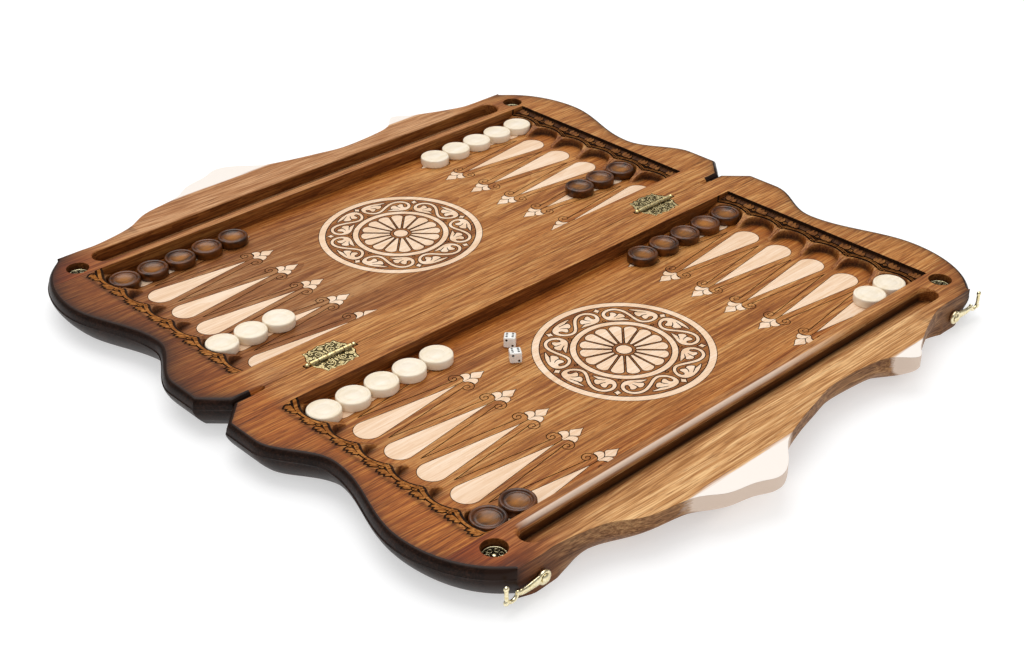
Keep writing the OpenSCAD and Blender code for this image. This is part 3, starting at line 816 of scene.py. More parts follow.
class Carving:
    """Relief: bases cut into triangles along every shape's outline, each at its shape's level and swell."""

    def __init__(
        self,
        bases: Sequence[Array],
        shapes: Sequence[Shape],
        level: float,
        paint: int = 0,
        wall: int = 0,
        spots: Array | None = None,
    ) -> None:
        """Works out the triangles, their base, levels and paint.

        Args:
            bases: Outlines that together make the carved face.
            shapes: What is carved into it.
            level: Height of the uncarved face.
            paint: Material slot of the uncarved face.
            wall: Material slot of the walls that belong to the uncarved face.
            spots: Further points of the plan that make the mesh finer.
        """
        every = [Shape(b, level, paint, wall, 0) for b in bases] + list(shapes)
        outlines = [counter_clockwise(s.outline) for s in every]
        ends = np.cumsum([len(o) for o in outlines])
        loops = [list(range(e - len(o), e)) for o, e in zip(outlines, ends)]
        corners = np.concatenate(outlines if spots is None else [*outlines, spots])
        points, _, faces, _, _, origins = delaunay_2d_cdt(corners.tolist(), [], loops, 1, 1e-4)
        counts = np.array([len(o) for o in origins])
        faces = np.array(faces)[counts > 0]
        counts = counts[counts > 0]
        owners = np.concatenate([np.array(o, int) for o in origins if o])
        starts = np.cumsum(counts) - counts
        rank = np.array([s.rank for s in every]) * len(every) + np.arange(len(every))
        top = np.maximum.reduceat(rank[owners], starts) % len(every)
        base = np.maximum.reduceat(np.where(owners < len(bases), owners, -1), starts)
        hole = np.array([s.level is None for s in every])
        keep = (base >= 0) & ~hole[top]
        self.points = np.array(points)
        self.faces, self.base, top = faces[keep], base[keep], top[keep]
        self.level = np.repeat(np.array([s.level or 0.0 for s in every])[top][:, None], 3, 1)
        for i in np.unique(top):
            if every[i].swell is not None:
                self.level[top == i] += every[i].swell(self.points[self.faces[top == i]])
        self.rank = np.array([s.rank for s in every])[top]
        self.paint = np.array([s.paint for s in every])[top]
        self.wall = np.array([s.wall for s in every])[top]

    def relief(self, base: int, surface: Surface, floor: float | None = None) -> tuple[Array, Array]:
        """Adds one base's faces and the walls between its levels to a surface.

        Args:
            base: Number of the base.
            surface: Surface to add to.
            floor: Where given, the outer edge is walled down to this level and closed there.

        Returns:
            Ends of the outer edge's segments, and the level at each of them.
        """
        mine = self.base == base
        tri, level, paint = self.faces[mine], self.level[mine], self.paint[mine]
        index = np.arange(tri.size).reshape(-1, 3)
        surface.put(np.column_stack([self.points[tri.ravel()], level.ravel()]), index, paint)
        edges = np.stack([tri, np.roll(tri, -1, 1)], -1).reshape(-1, 2)
        heights = np.stack([level, np.roll(level, -1, 1)], -1).reshape(-1, 2)
        owner = np.repeat(np.arange(len(tri)), 3)
        code = np.sort(edges, 1) @ np.array([len(self.points), 1])
        order = np.argsort(code, kind="stable")
        same = np.flatnonzero(code[order][:-1] == code[order][1:])
        one, two = order[same], order[same + 1]
        swap = heights[one].sum(1) < heights[two].sum(1)
        high, low = np.where(swap, two, one), np.where(swap, one, two)
        step = np.abs(heights[high] - heights[low][:, ::-1]).max(1) > 1e-4
        high, low = high[step], low[step]
        rank, wall = self.rank[mine][owner], self.wall[mine][owner]
        side = np.where(rank[high] > rank[low], wall[high], wall[low])
        self.fence(surface, edges[high], heights[high], heights[low][:, ::-1], side)
        alone = np.setdiff1d(np.arange(len(edges)), np.concatenate([one, two]))
        rim, rim_level = edges[alone], heights[alone]
        if floor is not None:
            self.fence(surface, rim, rim_level, np.full_like(rim_level, floor), wall[alone])
            under = np.column_stack([self.points[tri.ravel()], np.full(tri.size, floor)])
            surface.put(under, index[:, ::-1], paint)
        return self.points[rim], rim_level

    def fence(self, surface: Surface, edges: Array, high: Array, low: Array, paint: Array) -> None:
        """Adds upright quads below edges, facing away from the higher side, or triangles where one end has no step.

        Args:
            surface: Surface to add to.
            edges: Numbers of the edges' end points.
            high: Levels at the top of both ends.
            low: Levels at their foot.
            paint: Material slots.
        """
        a, b = self.points[edges[:, 0]], self.points[edges[:, 1]]
        corners = ((a, high[:, 0]), (a, low[:, 0]), (b, low[:, 1]), (b, high[:, 1]))
        quads = np.stack([np.column_stack(c) for c in corners], 1)
        flat = np.abs(high - low) < 2e-3
        cases = ((~flat.any(1), [0, 1, 2, 3]), (flat[:, 0], [1, 2, 3]), (flat[:, 1] & ~flat[:, 0], [0, 1, 2]))
        for mask, kept in cases:
            if mask.any():
                part = quads[mask][:, kept]
                index = np.arange(part.shape[0] * len(kept)).reshape(-1, len(kept))
                surface.put(part.reshape(-1, 3), index, paint[mask])


# The board


@dataclass(frozen=True)
class BoardPlan:
    """Sizes of one half, in millimetres."""

    thick: float = 30.0
    seam_x: float = 0.2
    rail: float = 30.0
    pitch: float = 37.0
    margin: float = 0.5
    field_hl: float = 263.0
    field_z: float = 16.0
    ledge_z: float = 23.0
    scallop_y: float = 237.6
    scallop_r: float = 15.4
    nose_l: float = 2.8
    ledge_h: float = 7.6
    rim_w: float = 11.0
    swag_y: float = 256.9
    swag_drop: float = 5.8
    slope_y: float = 251.0
    slope_l: float = 17.5
    slope_d: float = 4.6
    end_flat: float = 309.0
    waist: float = 26.0
    crest_drop: float = 3.0
    seam_cut: float = 22.0
    corner_rise: float = 66.0
    bead_w: float = 4.5
    bead_h: float = 8.2
    step_w: float = 0.8
    step_h: float = 0.4
    under_w: float = 13.0
    runout: float = 30.0
    ridge: float = 7.0
    groove_w: float = 25.0
    groove_z: float = 18.0
    groove_hl: float = 232.5
    edge_least: float = 0.8
    edge_more: float = 3.8
    lip: float = 9.5
    swell: float = 55.5
    live_under: float = 12.0
    well_r: float = 10.0
    well_z: float = 22.5
    well_in: float = 14.5
    hinge_y: float = 192.0
    leaf_w: float = 18.5
    barrel_l: float = 42.0
    barrel_r: float = 2.3
    leaf_top: float = 29.9
    leaf_z: float = 28.5
    axis_z: float = 30.15
    live: Path = (
        (-1, 0), (-0.92, 0), (-0.84, 0), (-0.71, 0.13), (-0.61, 0.39), (-0.47, 0.53), (-0.385, 0.77), (-0.3, 0.87),
        (-0.23, 1), (-0.165, 0.89), (-0.08, 0.57), (0.02, 0.4), (0.12, 0.28), (0.23, 0.17), (0.37, 0.2), (0.47, 0.3),
        (0.54, 0.585), (0.6, 0.42), (0.7, 0.2), (0.8, 0.03), (0.86, 0), (0.92, 0), (1, 0),
    )

    @property
    def x_ridge(self) -> float:
        """Outer side of the field."""
        return self.rail + 6 * self.pitch + 2 * self.margin

    @property
    def side_x(self) -> float:
        """Flat side of the board at its corners."""
        return self.x_ridge + self.ridge + self.groove_w + self.lip

    @property
    def x_mid(self) -> float:
        """Middle of the field."""
        return (self.rail + self.x_ridge) / 2

    @property
    def well_x(self) -> float:
        """Middle of the corner wells."""
        return self.x_ridge + self.well_in

    @property
    def groove_x(self) -> float:
        """Middle of the tray groove."""
        return self.x_ridge + self.ridge + self.groove_w / 2

    def point_x(self, i: float | Array) -> float | Array:
        """Middle of a point, counted from the hinge."""
        return self.rail + self.margin + (i + 0.5) * self.pitch

    def end_y(self, x: Array) -> Array:
        """End outline: diagonal at the seam, flat, a cosine down to the waist and up to the crest, and an ellipse.

        Args:
            x: Places across the board.

        Returns:
            Distances of the outline from the middle of the board.
        """
        x = np.asarray(x, float)
        flat_x, waist_x, crest_x = (self.rail + k * self.pitch for k in (0.65, 2.33, 5.0))
        low, crest = self.end_flat - self.waist, self.end_flat - self.crest_drop

        def ease(a: float, b: float, u: float, v: float) -> Array:
            """Cosine from height u at a to height v at b."""
            return u + (v - u) * (1 - np.cos(np.pi * (x - a) / (b - a))) / 2

        bow = np.clip((x - crest_x) / (1.1 * (self.side_x - crest_x)), 0, 1)
        return np.select(
            [x < self.seam_cut, x < flat_x, x < waist_x, x < crest_x],
            [
                self.end_flat - self.seam_cut + x,
                np.full_like(x, self.end_flat),
                ease(flat_x, waist_x, self.end_flat, low),
                ease(waist_x, crest_x, low, crest),
            ],
            crest - self.corner_rise * (1 - np.sqrt(1 - bow**2)),
        )

    def end_push(self, x: Array) -> Array:
        """How far along Y a unit square to the end outline reaches."""
        return np.sqrt(1 + ((self.end_y(x + 0.05) - self.end_y(x - 0.05)) / 0.1) ** 2)

    def end_chain(self, x: Array, s: int) -> Array:
        """Outline of an end: x, y, and how far a unit of bead and of lower band moves them, square to the outline.

        At the corner the bead runs out as a quarter ellipse and the lower band turns inwards both ways.

        Args:
            x: Places across the board.
            s: 1 for the far end or -1 for the near one.

        Returns:
            A row of six numbers per place.
        """
        x = np.asarray(x, float)
        k, c = s * self.end_push(x), np.clip((self.side_x - x) / 10, 0, 1)
        zero = np.zeros_like(x)
        tip = np.sqrt(1 - (1 - c) ** 2)
        return np.column_stack([x, s * self.end_y(x), zero, k * tip, 0.45 * (1 - c), k * (0.45 + 0.55 * c)])

    def seam_chain(self) -> Array:
        """Far part of the seam side: a rounded start of the bead, the corner and the end of the diagonal.

        Returns:
            Rows as in end_chain.
        """
        y, m = float(self.end_y(self.seam_x)), np.sqrt(2) - 1
        d = np.concatenate([5 * (1 - np.cos(np.linspace(0, np.pi / 2, 9))), [12.0, 20.0]])
        w = np.sqrt(1 - (1 - np.clip(d / 5, 0, 1)) ** 2)
        zero = np.zeros_like(d)
        start = np.column_stack([zero + self.seam_x, y - self.runout + d, -w, zero, zero, zero])
        end = [[self.seam_x, y, -1, m, 0, 1 + m], [self.seam_cut, self.end_flat, -m, 1, -m, 1]]
        return np.vstack([start, end])

    def live_chain(self) -> Array:
        """Outline of the live edge from near to far, a smooth curve through the measured swells, more undercut there.

        Returns:
            Rows as in end_chain.
        """
        curve = smooth(self.live, 6)[1:-1]
        zero = np.zeros(len(curve))
        under = self.live_under * (1 + 2.0 * np.clip(curve[:, 1], 0, 1))
        w = np.clip((0.86 - np.abs(curve[:, 0])) / 0.12, 0, 1) * under / self.under_w
        w += 0.45 * np.clip((np.abs(curve[:, 0]) - 0.94) / 0.06, 0, 1)
        x = self.side_x + self.swell * curve[:, 1]
        y = float(self.end_y(self.side_x)) * curve[:, 0]
        return np.column_stack([x, y, zero, zero, w, zero])

    def ring(self, chain: Array) -> Array:
        """Moulded edge below a chain: a quarter-round bead, a fine step and a lower band that curves inwards.

        Args:
            chain: Rows as in end_chain.

        Returns:
            Grid of points, from the top down.
        """
        a = np.linspace(0, np.pi / 2, 10)
        t = np.linspace(0.12, 1, 9)
        low_z = self.thick - self.bead_h - self.step_h
        z = np.concatenate([self.thick - self.bead_h * (1 - np.cos(a)), [low_z], low_z * (1 - t)])
        bead = np.concatenate([-self.bead_w * (1 - np.sin(a)), np.zeros(10)])
        band = np.concatenate([np.zeros(10), [self.step_w], self.step_w - (self.step_w + self.under_w) * t**1.5])
        x = chain[:, 0] + np.outer(bead, chain[:, 2]) + np.outer(np.minimum(band, 0), chain[:, 4])
        y = chain[:, 1] + np.outer(bead, chain[:, 3]) + np.outer(band, chain[:, 5])
        return np.stack([x, y, np.broadcast_to(z[:, None], x.shape)], -1)

    def ledge_gap(self, xy: Array) -> Array:
        """Distance of points from the scalloped edge of the field, positive on the ledge.

        Args:
            xy: Points of the plan.

        Returns:
            The distances.
        """
        u = np.abs(np.mod(xy[..., 0] - self.rail - self.margin, self.pitch) - self.pitch / 2)
        v = np.abs(xy[..., 1])
        nose = self.scallop_y - self.nose_l
        tip = self.pitch / 2 - self.scallop_r - np.hypot(u - self.pitch / 2, v - nose)
        arch = np.hypot(u, v - self.scallop_y) - self.scallop_r
        return np.select([v >= self.scallop_y, v >= nose], [arch, u - self.scallop_r], tip)

    def ledge_rise(self, xy: Array) -> Array:
        """Height of the ledge over the field: a steep S-curve of the distance, growing along the noses.

        Args:
            xy: Points of the plan.

        Returns:
            The heights.
        """
        t = np.clip((self.ledge_gap(xy) + 0.4) / 1.8, 0, 1)
        tall = self.ledge_h * np.clip((np.abs(xy[..., 1]) - self.scallop_y + 6) / 15, 0, 1) ** 0.85
        return tall * t**2 * (3 - 2 * t)

    def swag(self, x: Array) -> Array:
        """Distance of the garland's ribbon from the middle of the board, largest over the middle of a scallop."""
        u = np.mod(x - self.rail - self.margin, self.pitch) / self.pitch * 2 - 1
        return self.swag_y - self.swag_drop * np.abs(u) ** 1.8

    def rim_fall(self, xy: Array) -> Array:
        """Depth of the garland's ground: an S-curve up to the near rail, and a low slope below the far wall.

        Args:
            xy: Points of the plan.

        Returns:
            Heights from the rail's top, none above 0.
        """
        y = np.abs(xy[..., 1])
        t = np.clip((y - self.swag(xy[..., 0])) / self.rim_w, 0, 1)
        n = np.clip((y - self.slope_y) / self.slope_l, 0, 1)
        side = np.minimum(xy[..., 0] - self.rail, self.x_ridge - xy[..., 0])
        near = self.slope_d * (1 - n**2 * (3 - 2 * n)) * np.clip(side / 6, 0, 1)
        return -np.where(xy[..., 1] < 0, near, 5.6 - 2.4 * t)

    def groove_edge(self, out: Array) -> Array:
        """Width of the groove's rounded edge, largest on the ridge's side and falling to the outer one."""
        return self.edge_least + self.edge_more * np.clip(0.5 - out / self.groove_w, 0, 1) ** 2

    def groove_gap(self, out: Array, y: Array) -> Array:
        """Distance inside the tray groove's outline, from places out from its middle line and along it."""
        return self.groove_w / 2 - np.hypot(out, np.clip(y - self.groove_hl, 0, None))

    def groove_loop(self, share: float) -> Array:
        """Outline of the tray groove, moved inwards by a share of its edge's width.

        Args:
            share: The share.

        Returns:
            Corners of the outline.
        """
        r, n = self.groove_w / 2, 70
        bend = np.linspace(0, np.pi, 32)
        straight = np.linspace(self.groove_hl, -self.groove_hl, n)[1:-1]
        cos = np.concatenate([np.cos(bend), np.full(n - 2, -1.0), -np.cos(bend), np.ones(n - 2)])
        sin = np.concatenate([np.sin(bend), np.zeros(n - 2), -np.sin(bend), np.zeros(n - 2)])
        middle = np.concatenate([np.full(32, self.groove_hl), straight, np.full(32, -self.groove_hl), straight[::-1]])
        rad = r - share * self.groove_edge(r * cos)
        return np.stack([self.groove_x + rad * cos, middle + rad * sin], 1)

    def groove_fall(self, xy: Array) -> Array:
        """Rounding of the groove's edge: a quarter ellipse of the distance inside the outline, taller than wide.

        Args:
            xy: Points of the plan.

        Returns:
            Heights from the rail's top, none above 0.
        """
        out = xy[..., 0] - self.groove_x
        wide, d = self.groove_edge(out), self.groove_gap(out, np.abs(xy[..., 1]))
        return -1.4 * wide * (1 - np.sqrt(1 - np.clip(d / wide, 0, 1) ** 2))

    def spots(self) -> Array:
        """Points of the plan that make soft edges and burnt stain even: lines along scallops, rims and groove.

        Returns:
            The points.
        """
        steps = (-5.0, -2.5, -1.2, -0.7, -0.3, 0.3, 0.8, 1.3, 1.8, 2.3, 2.7)
        d = np.array([*steps, 3.1, 4.3])[:, None]
        t = np.radians(np.linspace(1, 179, 46))[None]
        arch = np.stack([(self.scallop_r + d) * np.cos(t), self.scallop_y + (self.scallop_r + d) * np.sin(t)], -1)
        arch = arch[np.abs(arch[..., 0]) < self.pitch / 2 - 0.15]
        turn = np.radians(np.linspace(180, 360, 19))[None]
        nose_r = self.pitch / 2 - self.scallop_r - np.array([*steps, 3.0])[:, None]
        nose_y = self.scallop_y - self.nose_l
        nose = np.stack([self.pitch / 2 + nose_r * np.cos(turn), nose_y + nose_r * np.sin(turn)], -1)
        flank = nose[:, [0, -1]] + np.array([0.0, self.nose_l / 2])
        column = np.vstack([arch, nose.reshape(-1, 2), flank.reshape(-1, 2)])
        shift = np.column_stack([self.point_x(np.arange(-1, 6)), np.zeros(7)])
        ledge = (column[None] + shift[:, None]).reshape(-1, 2)
        ledge = ledge[(ledge[:, 0] > self.rail + 0.05) & (ledge[:, 0] < self.x_ridge - 0.05)]
        x = np.arange(self.rail + 1.5, self.x_ridge - 1, 2.5)
        rim = np.stack(np.meshgrid(x, np.array([2.6, 4.0, 5.5, 7.0, 8.5, 10.0, 12.0])), -1).reshape(-1, 2)
        rim[:, 1] += self.swag(rim[:, 0])
        wide = np.stack(np.meshgrid(np.arange(2.0, self.side_x, 3.0), np.arange(self.field_hl + 8, 306.0, 3.0)), -1)
        wide = wide.reshape(-1, 2)
        wide = wide[wide[:, 1] < self.end_y(wide[:, 0]) - 6]
        far = np.vstack([ledge, rim, wide])
        inwards = (-0.2, 0.2, 0.4, 0.6, 0.7, 0.8, 0.9, 0.96, 1.2, 1.5, 2.0, 2.6)
        groove = np.vstack([self.groove_loop(share) for share in inwards])
        return np.vstack([far, far * [1, -1], groove])

    def burn_and_painted_light(self, v: Array) -> Array:
        """How dark the stain is made at points of a stave, and below 0 how far a painted highlight lightens it.

        It is burnt along the ends and darkened over the garland and the ledge, and on the corners' sides below the
        top.
        Painted shade lies on the scallops' walls, strongest on the side of each nose away from the lamp, in the
        wells, and on the groove's inner wall, deeper lower down. A painted highlight lies on the ridge's round edge.

        Args:
            v: Points in space.

        Returns:
            Shares from -1 to 1.
        """
        x, y, z = np.abs(v[:, 0]), np.abs(v[:, 1]), v[:, 2]
        # Ends: 11 mm deep in the near left quarter, and 4 mm elsewhere.
        inside = np.clip((self.end_y(x) - y) / self.end_push(x) - self.bead_w, 0, None)
        deep = np.where((v[:, 0] < 0) & (v[:, 1] < 0), 11.0, 4.0)
        edge = np.where(deep > 5, 0.88, 0.6) * np.exp(-inside / deep) * (z > self.thick - 0.5)
        # Garland and scallops: darker over the garland and the ledge, and painted shade on the scallops' walls,
        # strongest on the side of each nose away from the lamp.
        over = (x > self.rail) & (x < self.x_ridge) & (y > self.scallop_y - 12)
        rail = over & (y > self.swag(x) + 2)
        halo = np.where(v[:, 1] < 0, 0.5 * np.exp(-(((y - 266) / 2.6) ** 2)), 0.45 * (y < self.field_hl + 1.2)) * rail
        ribbon = 0.3 * (over & (v[:, 1] > 0) & (np.abs(y - self.swag(x)) < 2))
        gap = self.ledge_gap(np.column_stack([x, y]))
        lee = np.mod(x - self.rail - self.margin, self.pitch)
        lee = np.where(v[:, 0] > 0, lee, self.pitch - lee)
        nose = 0.6 * np.exp(-(((lee - 4.2) / 3) ** 2)) * np.exp(-(((y - self.scallop_y - 3) / 7) ** 2))
        share = 0.85 - 0.55 * np.clip((lee - 20) / 12, 0, 1)
        wall = share * np.exp(-(((gap - 0.3) / 0.8) ** 2)) * np.clip((y - self.scallop_y + 5) / 10, 0, 1)
        under = np.maximum(nose, wall + 0.2 * np.clip(gap - 0.6, 0, 1)) * (over & ~rail & (z < self.ledge_z + 1))
        # Painted shade in the wells.
        well = 0.6 * ((np.hypot(x - self.well_x, y - self.field_hl) < self.well_r + 0.1) & (z < self.thick - 0.5))
        # Tray groove: painted shade on the inner wall, deeper lower down, and a painted highlight on the right
        # ridge's round edge but for its far part.
        out = x - self.groove_x
        d = self.groove_gap(out, y)
        tray = np.clip(-out / 4, 0, 1) * (d > -1.5) * (z > 1)
        deep_in = tray * np.clip((d - 3.5) / 0.8, 0, 1) * np.exp(-np.clip(d - 5.2, 0, None) / 2.2)
        deep_in *= 0.45 + 0.4 * np.clip((24 - z) / 6, 0, 1)
        ridge_highlight = tray * np.clip((d + 0.9) / 0.7, 0, 1) * np.clip((3.4 - d) / 0.7, 0, 1)
        ridge_highlight *= (v[:, 0] > 0) * np.clip((140 - v[:, 1]) / 100, 0, 1) * np.clip((238 - y) / 14, 0, 1)
        corner = 0.95 * np.exp(-np.clip(268 - y, 0, None) / 8) * (x > 280) * (z < self.thick - 0.1)
        return np.max([edge, halo, under, ribbon, well, deep_in, corner], axis=0) - ridge_highlight


PLAN = BoardPlan()


def both_ends(outline: Array) -> list[Array]:
    """An outline at the far end and its mirror image at the near end."""
    return [outline, outline * np.array([1.0, -1.0])]


def moved(outline: Array, x: float) -> Array:
    """An outline shifted along X."""
    return outline + np.array([x, 0.0])


def mirrored_pair(outline: Array) -> list[Array]:
    """An outline and its mirror image across its own middle line."""
    return [outline, outline * np.array([-1.0, 1.0])]


def block(x0: float, y0: float, x1: float, y1: float) -> Array:
    """Closed rectangle."""
    return np.array([[x0, y0], [x1, y0], [x1, y1], [x0, y1]])


@dataclass(frozen=True)
class FieldPattern:
    """What is cut into the field and its ledges: scallops, inlay pockets, engraved scrolls and the leaf garland."""

    point_r: float = 12.0
    point_c: float = 223.8
    point_tip: float = 136.0
    rosette_r: float = 75.7
    gap: float = 0.45
    line_w: float = 0.66
    inlay_t: float = 2.0
    volute: Path = (
        (0, 127.5), (2.2, 125.2), (5, 124), (8.1, 123.9), (11.3, 125.6), (12.9, 129), (11.9, 132.6), (8.8, 134.4),
        (6.4, 133.6), (5.4, 131.2), (5.9, 129.2), (7.4, 128), (9.2, 128.5), (9.7, 130.2), (8.6, 131.3),
    )
    spade: Path = (
        (0, 104.8), (1.0, 107.4), (2.8, 110.2), (4.5, 112.9), (4.6, 114.6), (3.1, 116.4), (1.2, 118.2), (0, 119.7)
    )
    lobe: Path = (
        (0.3, 120.6), (2.5, 117.9), (5.2, 116.8), (7.5, 118.3), (8.6, 121), (8.5, 122.9), (6, 122.9), (3, 124.1),
        (0.3, 127),
    )
    leaves: tuple[tuple[float, ...], ...] = (
        (2.4, 256.8, 14.2, 259.3, 1.6), (3.9, 256.6, 4.6, 262.8, 2.1), (7.8, 256.8, 8.3, 263.0, 2.1),
        (11.0, 256.6, 12.4, 261.9, 1.9),
    )

    def scalloped(self) -> Array:
        """Outline of the field: six scallops at each end, with round-nosed teeth between them.

        Returns:
            Corners of the outline.
        """
        p = PLAN
        nose_r, v = p.pitch / 2 - p.scallop_r, p.scallop_y - p.nose_l
        last = 360 - float(np.degrees(np.arccos(p.margin / nose_r)))
        parts = [arc(p.rail + p.margin, v, nose_r, 540 - last, 360, 10)]
        for i in range(6):
            x = p.point_x(i)
            stop = 360 if i < 5 else last
            parts += [arc(x, p.scallop_y, p.scallop_r, 180, 0, 32), arc(x + p.pitch / 2, v, nose_r, 180, stop, 14)]
        far = np.vstack(parts)
        return np.vstack([far, (far * np.array([1.0, -1.0]))[::-1]])

    def teardrop(self, grow: float) -> Array:
        """Outline of a point: a circle and the two lines from its tip that touch it.

        Args:
            grow: How much larger it is all round.

        Returns:
            Corners of the outline.
        """
        r = self.point_r + grow
        b = np.degrees(np.arcsin(self.point_r / (self.point_c - self.point_tip)))
        tip = self.point_c - r / np.sin(np.radians(b))
        return np.vstack([[0.0, tip], arc(0, self.point_c, r, -b, 180 + b, 40)])

    def finial(self, grow: float) -> list[Array]:
        """Outlines of the finial's spade and two lobes.

        Args:
            grow: How much larger it is all round.

        Returns:
            The three outlines.
        """
        side = smooth(self.spade, 5)
        spade = np.vstack([side, (side * np.array([-1.0, 1.0]))[-2:0:-1]])
        return [grown(o, grow) for o in (spade, *mirrored_pair(smooth([*self.lobe, self.lobe[0]], 5)[:-1]))]

    def inlays(self, grow: float) -> list[Array]:
        """Outlines of every pale inlay of the right field but the rosette."""
        column = [self.teardrop(grow), *self.finial(grow)]
        return [end for i in range(6) for o in column for end in both_ends(moved(o, PLAN.point_x(i)))]

    def scrolls(self) -> list[Array]:
        """Engraved lines of one column: a stem, and on each side a volute and a line up to the next column's.

        Returns:
            Outlines of the lines.
        """
        volute = stroke(smooth(self.volute, 8), self.line_w)
        rise = stroke(np.linspace([18.5, 219.8], [6.2, 133.6], 12), self.line_w)
        stem = stroke(np.linspace([0.0, 127.2], [0.0, 137.5], 6), self.line_w)
        return [stem, *mirrored_pair(volute), *mirrored_pair(rise)]

    def garland(self, s: int) -> list[Shape]:
        """Ribbon that swings from cusp to cusp between dark lines; a boss, berries and two leaf sprays at a cusp.

        Args:
            s: 1 for the far end, where a straight wall ends the ground, or -1 for the near end.

        Returns:
            The shapes.
        """
        p = PLAN
        far = s > 0
        x = np.linspace(p.rail, p.x_ridge, 240)
        path = np.column_stack([x, p.swag(x)])
        rim = p.field_hl + (1.0 if far else 7.0)
        edge = np.array([[p.x_ridge, rim], [p.rail, rim]])
        ground = Paint.GROUND if far else Paint.FACE
        flat = [Shape(np.vstack([path, edge]), p.thick, ground, Paint.LINE, 2, p.rim_fall)]
        swell, base = (None, p.ledge_z) if far else (p.rim_fall, p.thick - 0.8)
        line_w, ribbon_w, ribbon_h = (5.2, 2.8, 1.5) if far else (7.4, 3.0, 0.5)
        flat.append(Shape(stroke(path, line_w), base - 0.1, Paint.LINE, Paint.LINE, 4, swell))
        flat.append(Shape(stroke(path, ribbon_w), base + ribbon_h, Paint.LEAF, Paint.LINE, 5, swell))
        if far:
            flat.append(Shape(stroke(path, 0.9), p.ledge_z + 1.2, Paint.LINE, Paint.LINE, 6))
        boss_d, boss_h = (5.0, 1.0) if far else (0.4, 0.8)
        low, high, grow = (-0.2, 0.9, 0.6) if far else (-0.3, 0.1, 1.5)
        low, high = p.thick + low, p.thick + high
        for k in range(7):
            cusp = p.rail + p.margin + k * p.pitch
            for side in (-1.0, 1.0):
                if p.rail < cusp + 16 * side < p.x_ridge:
                    for u, v, tip_u, tip_v, half in self.leaves:
                        v, tip_v = (v, tip_v) if far else (v + 0.4, tip_v + 1.6)
                        ends = (cusp + side * u, v), (cusp + side * tip_u, tip_v)
                        cut, leaf = petal(*ends, half, grow), petal(*ends, half)
                        flat.append(Shape(cut, low, Paint.LINE, Paint.LINE, 3, p.rim_fall))
                        flat.append(Shape(leaf, high, Paint.LEAF, Paint.LINE, 7, p.rim_fall))
            if 0 < k < 6:
                for u, r, paint in ((0.0, 2.6, Paint.LINE), (0.0, 1.8, Paint.LEAF), (-0.4, 0.7, Paint.LINE)):
                    top = p.thick - boss_d + boss_h * (r < 2.0)
                    flat.append(Shape(circle(cusp + u, p.swag_y, r, 24), top, paint, Paint.LINE, 8, swell))
                for u, v in ((-3.0, 251.6), (0.0, 250.6), (3.0, 251.6)):
                    flat.append(Shape(circle(cusp + u, v, 1.8, 20), base - 0.1, Paint.LINE, Paint.LINE, 4, swell))
                    flat.append(Shape(circle(cusp + u, v, 1.0, 20), base + 0.8, Paint.LEAF, Paint.LINE, 6, swell))
        return [replace(shape, outline=shape.outline * np.array([1.0, s])) for shape in flat]

    def shapes(self) -> list[Shape]:
        """Everything carved into the field staves.

        Returns:
            The shapes.
        """
        p = PLAN
        low = p.field_z - self.inlay_t
        ledge = block(p.rail, -p.field_hl, p.x_ridge, p.field_hl)
        found = [Shape(ledge, p.field_z, Paint.FACE, Paint.WALL, 1, p.ledge_rise)]
        found += [*self.garland(1), *self.garland(-1)]
        found.append(Shape(self.scalloped(), p.field_z, Paint.FACE, Paint.WALL, 10, p.ledge_rise))
        found.append(Shape(circle(p.x_mid, 0, self.rosette_r + self.gap, 180), low, Paint.LINE, Paint.LINE, 12))
        found += [Shape(o, low, Paint.LINE, Paint.LINE, 12) for o in self.inlays(self.gap)]
        for i in range(6):
            for line in self.scrolls():
                for o in both_ends(moved(line, p.point_x(i))):
                    found.append(Shape(o, p.field_z - 0.6, Paint.LINE, Paint.LINE, 11))
        return found


PATTERN = FieldPattern()


class Stave(Enum):
    """The five staves of a half, from the hinge outwards."""

    HINGE = "hinge_stave"
    INNER = "field_stave_inner"
    MIDDLE = "field_stave_middle"
    OUTER = "field_stave_outer"
    LIVE = "live_edge_stave"


